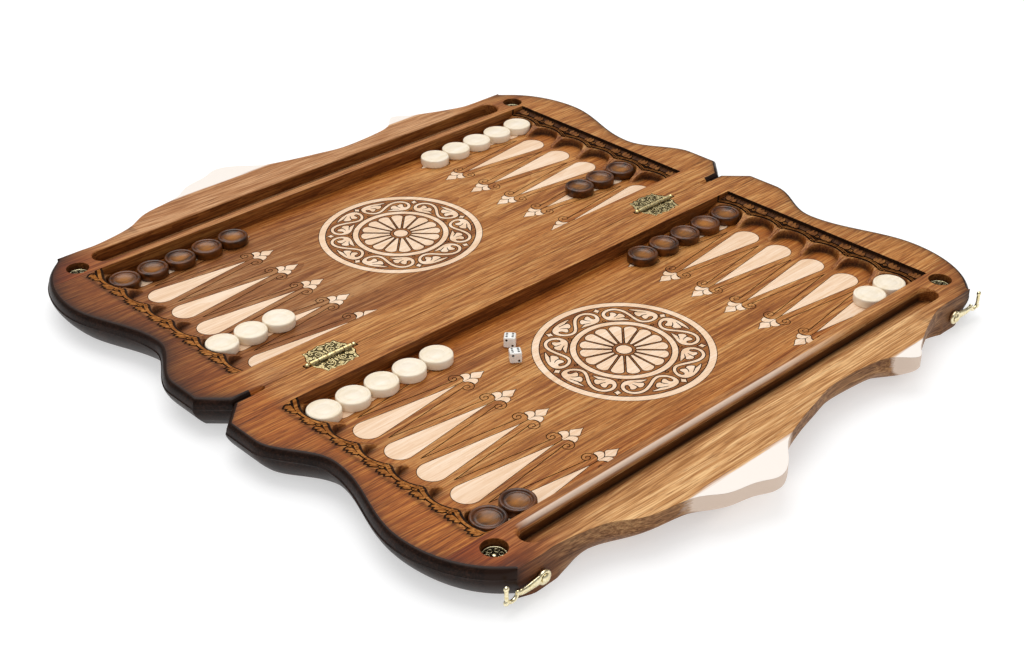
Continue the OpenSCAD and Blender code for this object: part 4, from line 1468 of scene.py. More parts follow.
@dataclass
class BoardWood:
    """The carved staves of a half."""

    steps: int = 40
    carving: Carving | None = None

    def limits(self, stave: Stave) -> tuple[float, float]:
        """Where a stave starts and ends across the board."""
        cuts = (PLAN.seam_x, PLAN.rail, PLAN.point_x(1.5), PLAN.point_x(3.5), PLAN.x_ridge, PLAN.side_x)
        return list(zip(cuts, cuts[1:]))[list(Stave).index(stave)]

    def far_chain(self, stave: Stave) -> Array:
        """Outline of a stave's far end, from its left joint to its right one or to the middle of the live edge.

        Args:
            stave: Which one.

        Returns:
            Rows as in BoardPlan.end_chain.
        """
        a, b = self.limits(stave)
        if stave is Stave.HINGE:
            return np.vstack([PLAN.seam_chain(), PLAN.end_chain([b], 1)])
        return PLAN.end_chain(np.linspace(a, b, self.steps), 1)

    def edges(self, stave: Stave) -> list[Array]:
        """Moulded edges of a stave as grids that run counter-clockwise: near end, live edge and far end.

        Args:
            stave: Which one.

        Returns:
            One grid per edge.
        """
        far = self.far_chain(stave)
        near = far * np.array([1, -1, 1, -1, 1, -1])
        if stave is Stave.LIVE:
            return [PLAN.ring(c) for c in (near, np.vstack([near[-1:], PLAN.live_chain(), far[-1:]]), far[::-1])]
        return [PLAN.ring(near), PLAN.ring(far[::-1])]

    def outline(self, stave: Stave, level: int) -> Array:
        """Outline of a stave at its top or its underside.

        Args:
            stave: Which one.
            level: 0 for its top or -1 for its underside.

        Returns:
            Corners of the outline.
        """
        loop = np.concatenate([e[level] for e in self.edges(stave)])[:, :2]
        apart = np.linalg.norm(loop - np.roll(loop, 1, 0), axis=1) > 1e-4
        return loop[apart]

    def edge_paint(self, edge: Array) -> Array:
        """Paint of an end's moulding: dark, but wood-brown where its bead starts beside the hinges.

        Args:
            edge: Grid of the moulding.

        Returns:
            One paint per quad.
        """
        middle = (edge[:-1, :-1] + edge[1:, 1:]) / 2
        x, y, z = middle[..., 0], np.abs(middle[..., 1]), middle[..., 2]
        bead = z > PLAN.thick - PLAN.bead_h
        start = bead & (x < PLAN.bead_w + 0.5) & (y < float(PLAN.end_y(PLAN.seam_x)) - 14)
        return np.where(start, int(Paint.FACE), int(Paint.MOULDING)).ravel()

    def shapes(self) -> list[Shape]:
        """Everything carved into a half: field, hinge mortises, tray groove and corner wells.

        Returns:
            The shapes.
        """
        p = PLAN
        found = PATTERN.shapes()
        found.append(Shape(p.groove_loop(0.0), p.thick, Paint.FACE, Paint.WALL, 10, p.groove_fall))
        found.append(Shape(p.groove_loop(1.0), p.groove_z, Paint.FACE, Paint.WALL, 11))
        for o in both_ends(circle(p.well_x, p.field_hl, p.well_r, 48)):
            found.append(Shape(o, p.well_z, Paint.LINE, Paint.WALL, 10))
        for s in (-1, 1):
            at = np.array([0.0, s * p.hinge_y])
            reach = p.barrel_l / 2 + 5.4
            found.append(Shape(HINGES.leaf(0.5) + at, p.leaf_z, Paint.LINE, Paint.LINE, 10))
            found.append(Shape(block(-1, -reach, 2.6, reach) + at, p.leaf_z - 1.3, Paint.LINE, Paint.LINE, 11))
        return found

    def joint_face(
        self, x: float, rim: Array, level: Array, ends: tuple[Array, Array], outward: int
    ) -> tuple[Array, Array]:
        """Upright face of a stave at a joint: below the carved top, between the two ends' profiles.

        Args:
            x: Where the joint is.
            rim: Ends of the carved top's outer edge.
            level: Levels at those ends.
            ends: Profile points of the near and the far end.
            outward: Sign of the direction that the face looks in.

        Returns:
            Points and triangles.
        """
        on = np.all(np.abs(rim[:, :, 0] - x) < 1e-2, axis=1)
        y, z = rim[on][:, :, 1], level[on]
        up = np.argsort(y, axis=1)
        y, z = np.take_along_axis(y, up, 1), np.take_along_axis(z, up, 1)
        order = np.argsort(y[:, 0])
        top = np.stack([y[order].ravel(), z[order].ravel()], 1)
        near, far = ends
        loop = np.vstack([top, far[:, 1:], near[::-1, 1:]])
        apart = np.linalg.norm(loop - np.roll(loop, 1, 0), axis=1) > 1e-3
        points, faces = triangulate(loop[apart])
        return np.column_stack([np.full(len(points), x), points]), faces[:, ::outward]

    def stave(self, stave: Stave) -> Surface:
        """Surface of one stave of the right half.

        Args:
            stave: Which one.

        Returns:
            The closed surface.
        """
        assert self.carving is not None
        surface = Surface()
        rim, level = self.carving.relief(list(Stave).index(stave), surface)
        edges = self.edges(stave)
        for i, edge in enumerate(edges):
            side = stave is Stave.LIVE and i == 1
            surface.grid(edge, Paint.EDGE if side else self.edge_paint(edge))
        points, faces = triangulate(self.outline(stave, -1))
        surface.put(np.column_stack([points, np.zeros(len(points))]), faces[:, ::-1], Paint.WALL)
        a, b = self.limits(stave)
        near, far = edges[0], edges[-1]
        surface.put(*self.joint_face(a, rim, level, (near[:, 0], far[:, -1]), -1), Paint.WALL)
        if stave is not Stave.LIVE:
            surface.put(*self.joint_face(b, rim, level, (near[:, -1], far[:, 0]), 1), Paint.WALL)
        return surface

    def build(self) -> None:
        """Carves the staves and sets them on both halves."""
        bases = [self.outline(s, 0) for s in Stave]
        self.carving = Carving(bases, self.shapes(), PLAN.thick, Paint.FACE, Paint.WALL, PLAN.spots())
        for stave in Stave:
            face, slot = (RAIL, "golden_wood") if stave is Stave.LIVE else (STAINED, "stained_wood")
            finishes = (face, MOULDING, WALL, LINE, GROUND, LIVE_EDGE, LEAF)
            self.stave(stave).on_halves(stave.value, "wood", finishes, slot, marks={"burn_and_painted_light": PLAN.burn_and_painted_light})


@dataclass
class Inlays:
    """Pale points and finials, each a flat piece let into its own pocket."""

    def build(self) -> None:
        """Fills the pockets of both fields."""
        right, bases = Surface(), PATTERN.inlays(0.0)
        carving = Carving(bases, [], PLAN.field_z, 0, 1)
        for base in range(len(bases)):
            carving.relief(base, right, PLAN.field_z - PATTERN.inlay_t)
        right.on_halves("point_inlays", "maple", (PALE, LINE), "pale_wood")


@dataclass
class Rosettes:
    """Inlaid rosettes: a wheel of petals inside a band of scrolled vine pairs, every pale shape cut dark around.

    Where the petals start, where their round ends begin and the middle of the band are shares of the radius.
    """

    r: float = 75.7
    petals: int = 16
    hub: float = 0.135
    shoulder: float = 0.435
    band: float = 0.745
    flips: tuple[int, ...] = (1, -1, 1, -1, 1, 1, -1)
    cut: float = 0.8
    depth: float = 0.5
    stem: Path = (
        (0, 0), (4.5, 4.6), (8.5, 7.3), (12.5, 8.4), (16.5, 7.6), (20, 4.9), (22, 0.8), (22, -3.2), (20.2, -6.6)
    )
    leaf: Path = (
        (23.4, -2), (22.6, -5.4), (20, -8.3), (15, -9.8), (8, -9.8), (3, -9.2), (-0.8, -8.4), (2.4, -7.3), (6, -6.2),
        (4, -4.6), (4.2, -2.2), (6.2, 0.4), (8.6, 0.9), (10.2, -0.4), (11.2, 1), (13.2, 3), (15.4, 3.2), (16.2, 1.4),
        (16.4, -1), (17.6, -2.9), (19.4, -3), (20.5, -1.6), (20.6, 0.5),
    )
    slits: tuple[Path, ...] = (
        ((4.6, -5.5), (8, -6.2), (12.2, -7.2)), ((10.0, 0.2), (11.5, -2.3), (13.8, -4.4))
    )

    def bent(self, outline: Array, turn: float, flip: int = 1) -> Array:
        """Lays an outline, drawn along a straight band, round the ring.

        Args:
            outline: Corners along the band and across it.
            turn: Where it goes, in degrees.
            flip: -1 where it is mirrored across the band.

        Returns:
            Corners in the field.
        """
        middle = self.band * self.r
        a = np.radians(90 - turn) - outline[:, 0] / middle
        rad = middle + flip * outline[:, 1]
        return np.stack([PLAN.x_mid + rad * np.cos(a), rad * np.sin(a)], 1)

    def vine(self, grow: float) -> list[tuple[Array, int]]:
        """Outlines of one pair along a straight band, with 1 for pale ones and 0 for slits cut into them.

        An S-shaped stem ends in two curls; each closes round an eye as a leaf of three lobes with slits between them.

        Args:
            grow: How much larger the pale ones are all round.

        Returns:
            Each outline with its mark.
        """
        half = smooth(self.stem, 7)
        path = np.vstack([-half[:0:-1], half])
        leaf = [(grown(smooth([*self.leaf, self.leaf[0]], 4)[:-1], grow), 1)]
        leaf += [(stroke(smooth(slit, 4), np.linspace(1.2, 0.6, 9)), 0) for slit in self.slits]
        return [(stroke(path, 2.6 + 2 * grow), 1), *leaf, *[(-o, pale) for o, pale in leaf]]

    def fillers(self, grow: float) -> list[tuple[Array, int]]:
        """Outlines between two pairs: a four-pointed star on the outer side and a dot on the inner one.

        Args:
            grow: How much larger they are all round.

        Returns:
            The star with 1 for pale wood, and the dot with 2 for brown wood.
        """
        turn = np.linspace(0, 2 * np.pi, 40, endpoint=False)
        rad = (3.0 + 1.3 * grow) * (np.abs(np.cos(turn)) ** 0.8 + np.abs(np.sin(turn)) ** 0.8) ** -1.25 + 0.25 * grow
        star = np.stack([0.85 * rad * np.cos(turn), 8.3 + 1.15 * rad * np.sin(turn)], 1)
        return [(star, 1), (circle(0.0, -9.7, 1.1 + grow, 16), 2)]

    def wheel_petal(self, turn: float, grow: float) -> Array:
        """Wedge with a round outer end, narrow towards the hub.

        Args:
            turn: Where it goes, in degrees.
            grow: How much larger it is all round.

        Returns:
            Corners of the outline.
        """
        width = np.pi * 0.43 * self.r / self.petals - 0.95 + grow
        end = arc(0, 0, width, -85, 85, 14) * np.array([0.7, 1.0]) + np.array([self.shoulder * self.r, 0.0])
        start = self.hub * self.r - grow
        wedge = np.vstack([[start, 0.75 + grow], [start, -0.75 - grow], end])
        c, s = np.cos(np.radians(turn)), np.sin(np.radians(turn))
        return wedge @ np.array([[c, s], [-s, c]]) + np.array([PLAN.x_mid, 0.0])

    def outlines(self, grow: float) -> list[tuple[Array, int]]:
        """Every shape but the rings, in the order in which they lie over one another.

        Args:
            grow: How much larger they are all round.

        Returns:
            Each outline with 0 for a slit, 1 for pale wood or 2 for brown wood.
        """
        found = [(self.wheel_petal((k + 0.5) * 360 / self.petals, grow), 1) for k in range(self.petals)]
        found.append((circle(PLAN.x_mid, 0, 0.085 * self.r + grow, 40), 1))
        step = 360 / len(self.flips)
        for k, flip in enumerate(self.flips):
            found += [(self.bent(o, (k + 0.25) * step, flip), pale) for o, pale in self.vine(grow)]
            found += [(self.bent(o, (k + 0.75) * step), pale) for o, pale in self.fillers(grow)]
        return found

    def surface(self) -> Surface:
        """Relief of the right half's rosette, a disc.

        Returns:
            The closed surface.
        """
        z, c = PLAN.field_z, self.cut
        discs = ((0.925, 0, 1), (0.925, -c, 0), (0.585, c, 1), (0.585, 0, 2), (0.522, 0, 1), (0.522, -c, 0))
        shapes = [
            Shape(circle(PLAN.x_mid, 0, share * self.r + grow, 160), z - self.depth * (paint == 1), paint, 1, rank)
            for rank, (share, grow, paint) in enumerate(discs, 1)
        ]
        for (around, kind), (pale, _) in zip(self.outlines(c), self.outlines(0.0)):
            if kind:
                shapes.append(Shape(around, z - self.depth, 1, 1, 8))
            shapes.append(Shape(pale, z - self.depth * (kind == 0), (1, 2, 0)[kind], 1, 9 + (kind == 0)))
        surface = Surface()
        Carving([circle(PLAN.x_mid, 0, self.r, 180)], shapes, z, 2, 1).relief(0, surface, z - PATTERN.inlay_t)
        return surface

    def build(self) -> None:
        """Sets a rosette in the middle of each field."""
        self.surface().on_halves("rosette", "inlay", (BAND, LINE, PALE), "pale_wood")


@dataclass
class Medallions:
    """Cast discs in the corner wells: a round rim, six petals in outline and a boss."""

    r: float = 9.8
    t: float = 1.6
    petals: int = 6
    rim_r: float = 8.7
    rim_w: float = 0.6
    petal_in: float = 2.4
    petal_l: float = 5.0
    boss_r: float = 2.0

    def disc(self, y: float) -> Array:
        """Polar grid of one medallion; its height over the well is a function of radius and turn.

        Args:
            y: Where it lies along the board.

        Returns:
            Points, from the foot of its edge inwards.
        """
        rho = np.concatenate([[self.r], np.linspace(self.r, 0.2, 44)])[:, None]
        turn = -np.linspace(0, 2 * np.pi, 144, endpoint=False)[None, :]
        rim = np.exp(-(((rho - self.rim_r) / self.rim_w) ** 4))
        on_petal = (rho > self.petal_in) & (rho < self.petal_in + self.petal_l)
        spread = np.clip(np.sin(np.pi * (rho - self.petal_in) / self.petal_l), 0, 1) * on_petal
        leaf = np.exp(-(((spread * np.abs(np.cos(self.petals / 2 * turn)) - 0.5) / 0.16) ** 2))
        boss = np.sqrt(np.clip(1 - (rho / self.boss_r) ** 2, 0, 1))
        height = self.t * (0.3 + 0.7 * np.maximum(np.maximum(rim, 0.9 * leaf), boss))
        height[0] = 0.0
        x = PLAN.well_x + rho * np.cos(turn)
        return np.stack([x, y + rho * np.sin(turn), PLAN.well_z + height], -1)

    def rub(self, v: Array) -> Array:
        """Share of bright metal: the crests of the relief."""
        return np.clip(((v[:, 2] - PLAN.well_z) / self.t - 0.62) / 0.2, 0, 1)

    def build(self) -> None:
        """Lays a medallion in each well."""
        right = Surface()
        for s in (-1, 1):
            right.turn(self.disc(s * PLAN.field_hl))
        right.on_halves("medallions", "cast", (RUBBED,), "antique_brass", angle=50, marks={"rub": self.rub})


@dataclass
class Hinges:
    """Ornate butt hinges: scalloped leaves with raised scrollwork on a dark ground, and barrels in five knuckles."""

    knuckles: int = 5
    gap: float = 0.2
    rim: float = 1.15
    bore_r: float = 1.15
    chamfer: float = 0.3
    dish_r: float = 2.3
    hole_r: float = 1.56
    edge: Path = (
        (0, 0.97), (0.36, 0.93), (0.56, 0.8), (0.92, 0.73), (0.84, 0.54), (0.95, 0.41), (0.88, 0.29), (1, 0)
    )
    # Place, radius, first angle and turn of each volute.
    volutes: tuple[tuple[float, ...], ...] = (
        (6.4, 6.6, 3.3, 200, 560), (11.0, 11.0, 2.1, 20, -480), (5.4, 11.6, 1.5, 90, 420)
    )
    screws: Path = ((0.42, 0.36), (0.42, -0.36), (0.75, 0.0))

    def leaf(self, grow: float) -> Array:
        """Outline of a right leaf about the hinge's middle, with hollow curves between its points.

        Args:
            grow: How much larger it is all round.

        Returns:
            Corners of the outline.
        """
        w, h = PLAN.leaf_w, PLAN.barrel_l / 2
        upper = np.array(self.edge) * np.array([w, h]) + np.array([[0.1, 0.0]] + [[0.0, 0.0]] * 7)
        upper += np.where(upper[:, 1:] > 0, [grow, grow], [grow, 0.0])
        if grow < 0:
            upper[0, 0] = 2.9
        a, b = upper[:-1, None], upper[1:, None]
        hollow = np.array([0.0, 0.5, 0.6, 0.5, 0.2, 0.2, 0.35])[:, None, None]
        middle = (a + b) / 2 - hollow * np.array([1.0, 0.6])
        t = np.linspace(0, 1, 6, endpoint=False)[None, :, None]
        curve = ((1 - t) ** 2 * a + 2 * t * (1 - t) * middle + t**2 * b).reshape(-1, 2)
        far = np.vstack([curve, upper[-1:]])
        return np.vstack([far * np.array([1.0, -1.0]), far[-2::-1]])

    def scrolls(self) -> list[Array]:
        """Raised scrolls of one leaf: a pair of volutes by the barrel, smaller ones outside and a leaf between.

        Returns:
            Outlines of the scrolls.
        """
        wide = np.array([PLAN.leaf_w / 16.0, 1.0])
        t = np.linspace(0, 1, 44)
        found = [petal((4.0, 0.0), (9.2, 0.0), 1.1)]
        for s in (-1.0, 1.0):
            for x, y, r, start, turns in self.volutes:
                a = np.radians(start + turns * t)
                rad = r * (1 - 0.78 * t)
                found.append(stroke(np.stack([x + rad * np.cos(a), s * (y + rad * np.sin(a))], 1), 0.95 - 0.3 * t))
            found.append(stroke(smooth([[3.4, s * 2.2], [8.8, s * 3.2], [11.4, s * 6.0], [12.6, s * 9.6]], 6), 0.9))
            found.append(petal((9.4, s * 14.6), (13.4, s * 14.2), 0.8))
            found.append(petal((4.2, s * 18.2), (8.4, s * 17.6), 0.8))
        return [o * wide for o in found]

    def surface(self, own: Sequence[int]) -> Surface:
        """Both hinges' leaves of the right half, with the knuckles that belong to them.

        Args:
            own: Numbers of those knuckles.

        Returns:
            The closed surface.
        """
        p = PLAN
        top, step = p.leaf_top, p.barrel_l / self.knuckles
        surface, shapes = Surface(), []
        bases = []
        for s in (-1, 1):
            at = np.array([0.0, s * p.hinge_y])
            bases.append(self.leaf(0.0) + at)
            shapes.append(Shape(self.leaf(-self.rim) + at, top - 0.55, 1, 1, 1))
            shapes += [Shape(o + at, top - 0.05, 0, 1, 2) for o in self.scrolls()]
            for u, v in self.screws:
                x, y = u * p.leaf_w, v * p.barrel_l + at[1]
                shapes.append(Shape(circle(x, y, self.dish_r, 28), top - 0.1, 0, 1, 3))
                shapes.append(Shape(circle(x, y, self.hole_r, 28), None, 0, 1, 5))
            for k in range(self.knuckles):
                y0 = at[1] - p.barrel_l / 2 + k * step
                if k in own:
                    a, b, r = -step / 2 + self.gap / 2, step / 2 - self.gap / 2, p.barrel_r
                    c, bore = self.chamfer, self.bore_r
                    ring = np.array([[bore, a], [r - c, a], [r, a + c], [r, b - c], [r - c, b], [bore, b]])
                    centre = (0.0, y0 + step / 2, p.axis_z)
                    surface.turn(turned(ring, centre, (0, 1, 0), 40, True), 0, True)
                else:
                    x = np.array([-1.0, 2.8, 2.8, -1.0])
                    y = np.array([-0.3, -0.3, step + 0.3, step + 0.3]) + y0
                    shapes.append(Shape(np.stack([x, y], 1), None, 0, 1, 6))
        carving = Carving(bases, shapes, top, 0, 0)
        for base in range(2):
            carving.relief(base, surface, p.leaf_z)
        return surface

    def build(self) -> None:
        """Sets the leaves on both halves."""
        materials = [finish(BRASS), finish(PATINA)]
        for half in Half:
            right = half is Half.RIGHT
            surface = self.surface((0, 2, 4) if right else (1, 3))
            node = f"{half.prefix}_hinge_leaves"
            (surface if right else surface.mirrored()).piece(
                f"{node}_cast", materials, half.body, [node], "antique_brass", 40
            )


HINGES = Hinges()


@dataclass
class Hooks:
    """Cast swing hooks: an eye, a tapering arm, a round mouth and a stem with a ball at its foot."""

    x: float = 295.1
    y: float = 245.0
    z: float = 12.0
    t: float = 3.5
    reach: float = 29.5
    lift: float = 1.5
    mouth: float = 3.5
    curl: float = 3.2
    eye: Path = ((2.1, -1.7), (4.6, -1.75), (5.6, -1.3), (6, 0), (5.6, 1.3), (4.6, 1.75), (2.1, 1.7))
    arm: Path = ((3.2, -0.2), (8, -0.5), (14, -0.9), (19, -0.8), (22.4, 0), (24.4, 1.4))
    taper: Path = ((0, 3.9), (0.15, 3.7), (0.45, 2.9), (0.75, 2.5), (0.93, 1.5), (1, 0.9))

    def place(self, uvw: Array) -> Array:
        """Turns reach, height and thickness of the far hook into board coordinates."""
        return np.stack([self.x + self.t / 2 + uvw[..., 2], self.y + uvw[..., 0], self.z + uvw[..., 1]], -1)

    def tube(self, path: Array, half: Array, thick: float) -> Array:
        """Oval section carried along a path: square to it by its half height, and across the hook by its thickness.

        Args:
            path: Reach and height along the middle.
            half: Half height at each point.
            thick: Full thickness.

        Returns:
            Grid of points, path by round.
        """
        along = np.gradient(path, axis=0)
        along /= np.linalg.norm(along, axis=1, keepdims=True)
        across = np.stack([-along[:, 1], along[:, 0]], 1)
        turn = np.linspace(0, 2 * np.pi, 28, endpoint=False)
        flat = path[:, None] + (half[:, None] * np.cos(turn))[..., None] * across[:, None]
        depth = -np.minimum(half[:, None] * 1.1, thick / 2) * np.sin(turn)
        return self.place(np.concatenate([flat, depth[..., None]], -1))

    def ball(self, u: float, v: float, r: float) -> Array:
        """Ball pressed flat to the hook's thickness.

        Args:
            u: Reach of its middle.
            v: Height of its middle.
            r: Radius.

        Returns:
            Grid of points, profile by round.
        """
        a = np.radians(np.linspace(-88, 88, 17))
        profile = np.stack([r * np.cos(a), self.t / 2 * np.sin(a)], 1)
        return turned(profile, self.place(np.array([u, v, 0.0])), (1, 0, 0), 32)

    def surface(self) -> Surface:
        """Surface of the far hook.

        Returns:
            The closed parts, which run into one another.
        """
        surface = Surface()
        surface.turn(turned(np.array(self.eye), self.place(np.zeros(3)), (1, 0, 0), 48, True), 0, True)
        arm = smooth(self.arm, 8)
        half = np.interp(np.linspace(0, 1, len(arm)), *np.array(self.taper).T)
        surface.turn(self.tube(arm, half, self.t))
        m = self.mouth + self.curl / 2
        bend = arc(self.reach, self.lift, m, 190, 360, 30)
        out = self.reach + m
        stem = np.stack([np.full(12, out), np.linspace(self.lift + 0.6, self.lift + 8.2, 12)], 1)
        path = np.vstack([bend, stem])
        surface.turn(self.tube(path, np.full(len(path), 1.45), 2.9))
        for u, v, r in ((out, self.lift + 8.0, 2.2), (out, -2.2, 2.4), (self.reach - m, self.lift, 1.55)):
            surface.turn(self.ball(u, v, r))
        return surface

    def build(self) -> None:
        """Hangs both hooks."""
        far = self.surface()
        for name, surface in (("far_hook", far), ("near_hook", far.mirrored((1.0, -1.0, 1.0)))):
            surface.piece(f"{name}_cast", [finish(BRIGHT)], name, [name], "antique_brass", 50)


@dataclass
class Checkers:
    """Thirty turned checkers at the start of a game: ivory ones with a flat face, dark ones dished inside a rim.

    Each stack has its side, its end for the ivory ones, its point counted from the hinge, first number and count.
    """

    r: float = 14.0
    h: float = 8.0
    gap: float = 0.6
    ivory: Path = (
        (0.2, 0), (13, 0), (13.7, 0.3), (14, 0.9), (14, 6.7), (13.85, 7.3), (13.4, 7.75), (12.8, 7.95), (12.3, 8),
        (11.9, 7.92), (11.6, 7.6), (11.2, 7.5), (10.8, 7.58), (10.4, 7.66), (7.4, 7.7), (7.1, 7.58), (6.8, 7.7),
        (0.2, 7.74),
    )
    dark: Path = (
        (0.2, 0), (13, 0), (13.7, 0.3), (14, 0.9), (14, 6.3), (13.85, 7.1), (13.4, 7.7), (12.8, 7.97), (12.2, 8),
        (11.5, 7.85), (11, 7.4), (10.7, 6.8), (10.3, 6.5), (9.7, 6.45), (9.1, 6.6), (8.6, 6.75), (8, 6.7),
        (7.2, 6.35), (5.5, 6.05), (3, 5.9), (0.2, 5.85),
    )
    stacks: tuple[tuple[int, ...], ...] = (
        (-1, 1, 5, 1, 5), (-1, -1, 1, 6, 3), (1, -1, 0, 9, 5), (1, 1, 5, 14, 2)
    )

    def stack(self, kind: str, profile: Array, look: TurnedFinish, slot: str, row: tuple[int, ...]) -> None:
        """Lays one column of checkers.

        Args:
            kind: Start of the nodes' names.
            profile: Radius and height of the turned outline.
            look: Finish.
            slot: Material slot of the record.
            row: Side, end, point counted from the hinge, first number and count.
        """
        side, end, column, first, count = row
        for k in range(count):
            centre = np.array([side * PLAN.point_x(column), end * (PLAN.scallop_y - k * (2 * self.r + self.gap))])
            surface = Surface()
            surface.turn(turned(profile, (*centre, PLAN.field_z), (0, 0, 1), 72))
            node = f"{kind}_checker_{first + k:02d}"
            marks = {"heart": partial(self.heart, centre)}
            surface.piece(f"{node}_turned", [finish(look)], node, [node], slot, 60, marks)

    def heart(self, centre: Array, v: Array) -> Array:
        """Share of the warm middle: full at a checker's axis, none beyond 0.7 of its radius or on its side."""
        rho = np.linalg.norm(v[:, :2] - centre, axis=1) / self.r
        return np.clip(1.4 - 2 * rho, 0, 1) * (v[:, 2] > PLAN.field_z + 1)

    def build(self) -> None:
        """Lays every column; the dark ones mirror the ivory ones at the other end."""
        for row in self.stacks:
            self.stack("white", np.array(self.ivory), IVORY, "ivory_wood", row)
        for side, end, *rest in self.stacks:
            self.stack("dark", np.array(self.dark), DARK, "dark_wood", (side, -end, *rest))


@dataclass
class Dice:
    """Two dice: cubes with rounded edges and dished pips."""

    edge: float = 10.0
    round_r: float = 1.5
    pip_r: float = 1.0
    pip_d: float = 0.45
    cells: int = 56
    # Place across the board in points, place along it in spacings of the points, and turn in degrees.
    places: tuple[tuple[float, ...], ...] = ((0.62, -1.7, 42), (1.16, -2.05, 55))
    pairs: tuple[Path, ...] = (((-1, 1), (1, -1)), ((1, 1), (-1, -1)), ((-1, 0), (1, 0)))

    def pips(self, n: int) -> Array:
        """Places of n pips on a face, in quarters of its edge."""
        spots = [(0, 0)] * (n % 2) + [spot for pair in self.pairs[: n // 2] for spot in pair]
        return np.array(spots) * self.edge / 4

    def face(self, n: int) -> tuple[Array, Array]:
        """Grid of one face, looking up: a square pulled to a rounded box, with a round dent at each pip.

        Args:
            n: Number of pips.

        Returns:
            Points, and a mask of the pips.
        """
        h = self.edge / 2
        u = np.linspace(-h, h, self.cells)
        q = np.stack([*np.meshgrid(u, u), np.full((self.cells, self.cells), h)], -1)
        core = np.clip(q, -(h - self.round_r), h - self.round_r)
        out = q - core
        points = core + self.round_r * out / np.linalg.norm(out, axis=-1, keepdims=True)
        far = np.min(np.linalg.norm(q[..., None, :2] - self.pips(n), axis=-1), axis=-1) / self.pip_r
        points[..., 2] -= self.pip_d * np.sqrt(np.clip(1 - far**2, 0, 1))
        return points, (far < 1.0).astype(float)

    def die(self, node: str, column: float, step: float, turn: float) -> None:
        """Lays one die.

        Args:
            node: Node that it stands for.
            column: Place across the board, in points from the hinge.
            step: Place along the board, in spacings of the points.
            turn: Turn about the vertical in degrees.
        """
        surface, marks = Surface(), []
        at = Matrix.Translation((PLAN.point_x(column), step * PLAN.pitch, PLAN.field_z + self.edge / 2))
        place = at @ Matrix.Rotation(np.radians(turn), 4, "Z")
        sides = ((0, "X", 6), (180, "X", 1), (90, "X", 2), (-90, "X", 5), (90, "Y", 3), (-90, "Y", 4))
        for angle, axis, n in sides:
            points, mask = self.face(n)
            m = np.array(place @ Matrix.Rotation(np.radians(angle), 4, axis))
            surface.grid((points @ m[:3, :3].T + m[:3, 3])[:, ::-1])
            marks.append(mask[:, ::-1].ravel())
        pips = {"pip": np.concatenate(marks)}
        surface.piece(f"{node}_moulded", [finish(DICE)], node, [node], "white_plastic", 60, pips)

    def build(self) -> None:
        """Lays both dice."""
        for node, place in zip(("die_one", "die_two"), self.places):
            self.die(node, *place)


def dress_kept() -> None:
    """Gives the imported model's own meshes, where they are shown as they are, their finishes."""
    looks = {"hinge_screws": BRASS, "hinge_pins": BRASS, "hook_screws": BRIGHT, "keeper_studs": BRIGHT}
    for name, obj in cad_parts.items():
        for ending, look in looks.items():
            if name.endswith(ending):
                obj.data.materials.clear()
                obj.data.materials.append(finish(look))
                LOG.info("%s: %s", name, look.name)


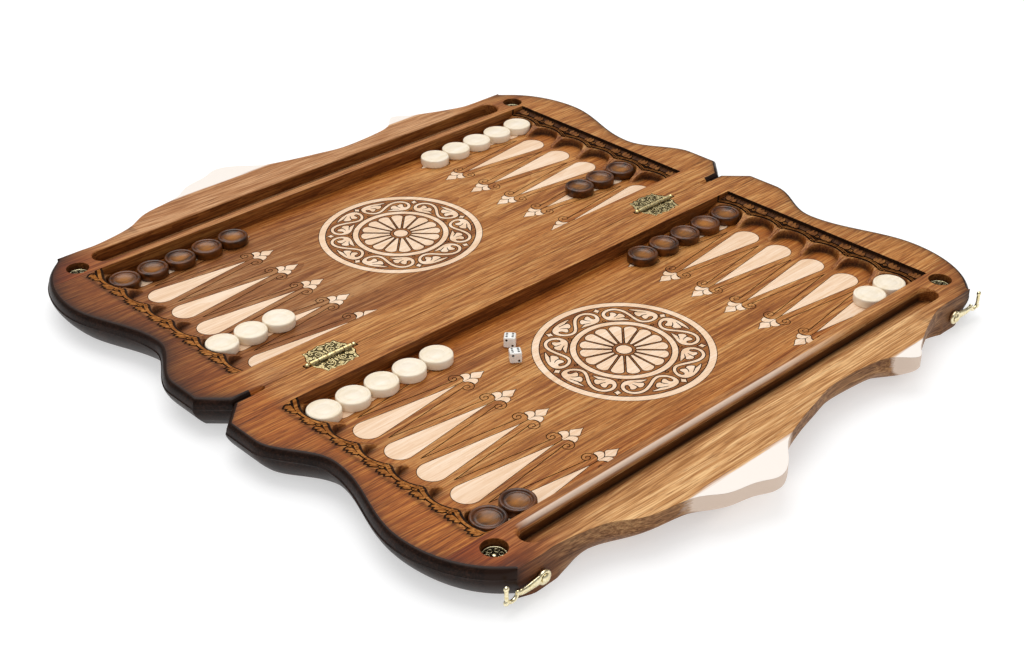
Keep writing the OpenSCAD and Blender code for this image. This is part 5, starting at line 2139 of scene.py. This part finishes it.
@dataclass(frozen=True)
class Studio:
    """White floor, white surroundings and one broad soft lamp from the left and behind."""

    lens: float = 56.437
    place: tuple[float, float, float] = (888.5, -834.1, 712.2)
    azimuth: float = 46.547
    elevation: float = 31.213
    roll: float = -0.239
    world: float = 0.74
    overhead: float = 3.0
    around: float = 0.28
    sun: float = 1.3
    sun_from: tuple[float, float, float] = (-0.95, 0.35, 1.75)
    sun_angle: float = 50.0
    ceiling: tuple[float, float] = (0.76, 0.97)
    sensor: float = 36.0
    clip: float = 50.0
    floor: str = "#CDCDCD"
    floor_haze: str = "#CBCBCB"
    floor_half: float = 8.0
    floor_n: int = 9
    floor_drop: float = 0.0002
    glow: float = 0.48

    def camera(self) -> None:
        """Sets the camera where the photograph was taken from."""
        a, e, r = np.radians([self.azimuth, self.elevation, self.roll])
        ahead = np.array([-np.sin(a) * np.cos(e), np.cos(a) * np.cos(e), -np.sin(e)])
        right = np.array([np.cos(a), np.sin(a), 0.0])
        up = np.cross(right, ahead)
        right, up = np.cos(r) * right + np.sin(r) * up, -np.sin(r) * right + np.cos(r) * up
        m = np.eye(4)
        m[:3] = np.column_stack([right, up, -ahead, np.array(self.place) * MM])
        data = bpy.data.cameras.new("camera")
        data.lens, data.sensor_width, data.sensor_fit = self.lens, self.sensor, "HORIZONTAL"
        data.clip_end = self.clip
        obj = bpy.data.objects.new("camera", data)
        bpy.context.scene.collection.objects.link(obj)
        obj.matrix_world = Matrix(m.tolist())
        bpy.context.scene.camera = obj

    def lamp(self) -> None:
        """Sets the soft lamp."""
        data = bpy.data.lights.new("soft_lamp", "SUN")
        data.energy, data.angle = self.sun, float(np.radians(self.sun_angle))
        obj = bpy.data.objects.new("soft_lamp", data)
        bpy.context.scene.collection.objects.link(obj)
        z = np.array(self.sun_from) / np.linalg.norm(self.sun_from)
        x = np.cross([0.0, 1.0, 0.0], z)
        x /= np.linalg.norm(x)
        obj.matrix_world = Matrix(np.column_stack([x, np.cross(z, x), z]).tolist()).to_4x4()

    def room(self) -> None:
        """Sets white surroundings: a gloss mirrors a bright ceiling and dim walls, the camera sees plain white."""
        world = bpy.data.worlds.new("white_room")
        bpy.context.scene.world = world
        world.use_nodes = True
        s = Sheet(tree=world.node_tree)
        ray = s.add("ShaderNodeLightPath").node.outputs
        place = s.add("ShaderNodeTexCoord", out="Generated")
        _, _, up = s.add("ShaderNodeSeparateXYZ", [place]).node.outputs
        start, full = self.ceiling
        rise = [up, start, full, self.around, self.overhead]
        mirrored = s.add("ShaderNodeMapRange", rise, interpolation_type="SMOOTHSTEP")
        level = s.add("ShaderNodeMix", {0: ray["Is Glossy Ray"], 2: self.world, 3: mirrored}, data_type="FLOAT")
        level = s.add("ShaderNodeMix", {0: ray["Is Camera Ray"], 2: level, 3: 1.0}, data_type="FLOAT")
        back = s.add("ShaderNodeBackground", {"Color": (1.0, 1.0, 1.0, 1.0), "Strength": level})
        s.tree.links.new(back, s.tree.nodes["World Output"].inputs["Surface"])

    def ground(self) -> None:
        """Pale floor under the board, a sheet that glows faintly so that shadows stay light."""
        n = self.floor_n
        u = np.linspace(-self.floor_half, self.floor_half, n)
        grid = np.stack([*np.meshgrid(u, u, indexing="ij"), np.zeros((n, n))], -1)
        index = np.arange(n * n).reshape(n, n)
        quads = np.stack([index[:-1, :-1], index[1:, :-1], index[1:, 1:], index[:-1, 1:]], -1).reshape(-1, 4)
        mesh = bpy.data.meshes.new("floor")
        mesh.from_pydata(grid.reshape(-1, 3).tolist(), [], quads.tolist())
        s = Sheet("white_floor")
        haze = s.add("ShaderNodeTexNoise", {"Vector": s.mm, "Scale": 0.01, "Detail": 2.0})
        tint = s.add("ShaderNodeValToRGB", [haze], stops=((0.3, self.floor_haze), (0.7, self.floor)))
        lit = {"Emission_Color": (1.0, 1.0, 1.0, 1.0), "Emission_Strength": self.glow}
        mesh.materials.append(s.feed(Base_Color=tint, Roughness=0.9, Specular_IOR_Level=0.1, **lit))
        obj = bpy.data.objects.new("floor", mesh)
        obj.location.z = -self.floor_drop
        bpy.context.scene.collection.objects.link(obj)

    def build(self) -> None:
        """Sets floor, light, camera and view."""
        self.ground()
        self.lamp()
        self.room()
        self.camera()
        bpy.context.scene.view_settings.view_transform = "Standard"


def main() -> None:
    """Builds and dresses the board in its order of assembly, then the studio around it."""
    logging.basicConfig(level=logging.INFO, format="%(message)s", force=True)
    for part in (BoardWood(), Inlays(), Rosettes(), Medallions(), HINGES, Hooks(), Checkers(), Dice()):
        LOG.info("Building: %s", type(part).__name__)
        part.build()
    dress_kept()
    Studio().build()


if __name__ == "__main__":
    main()
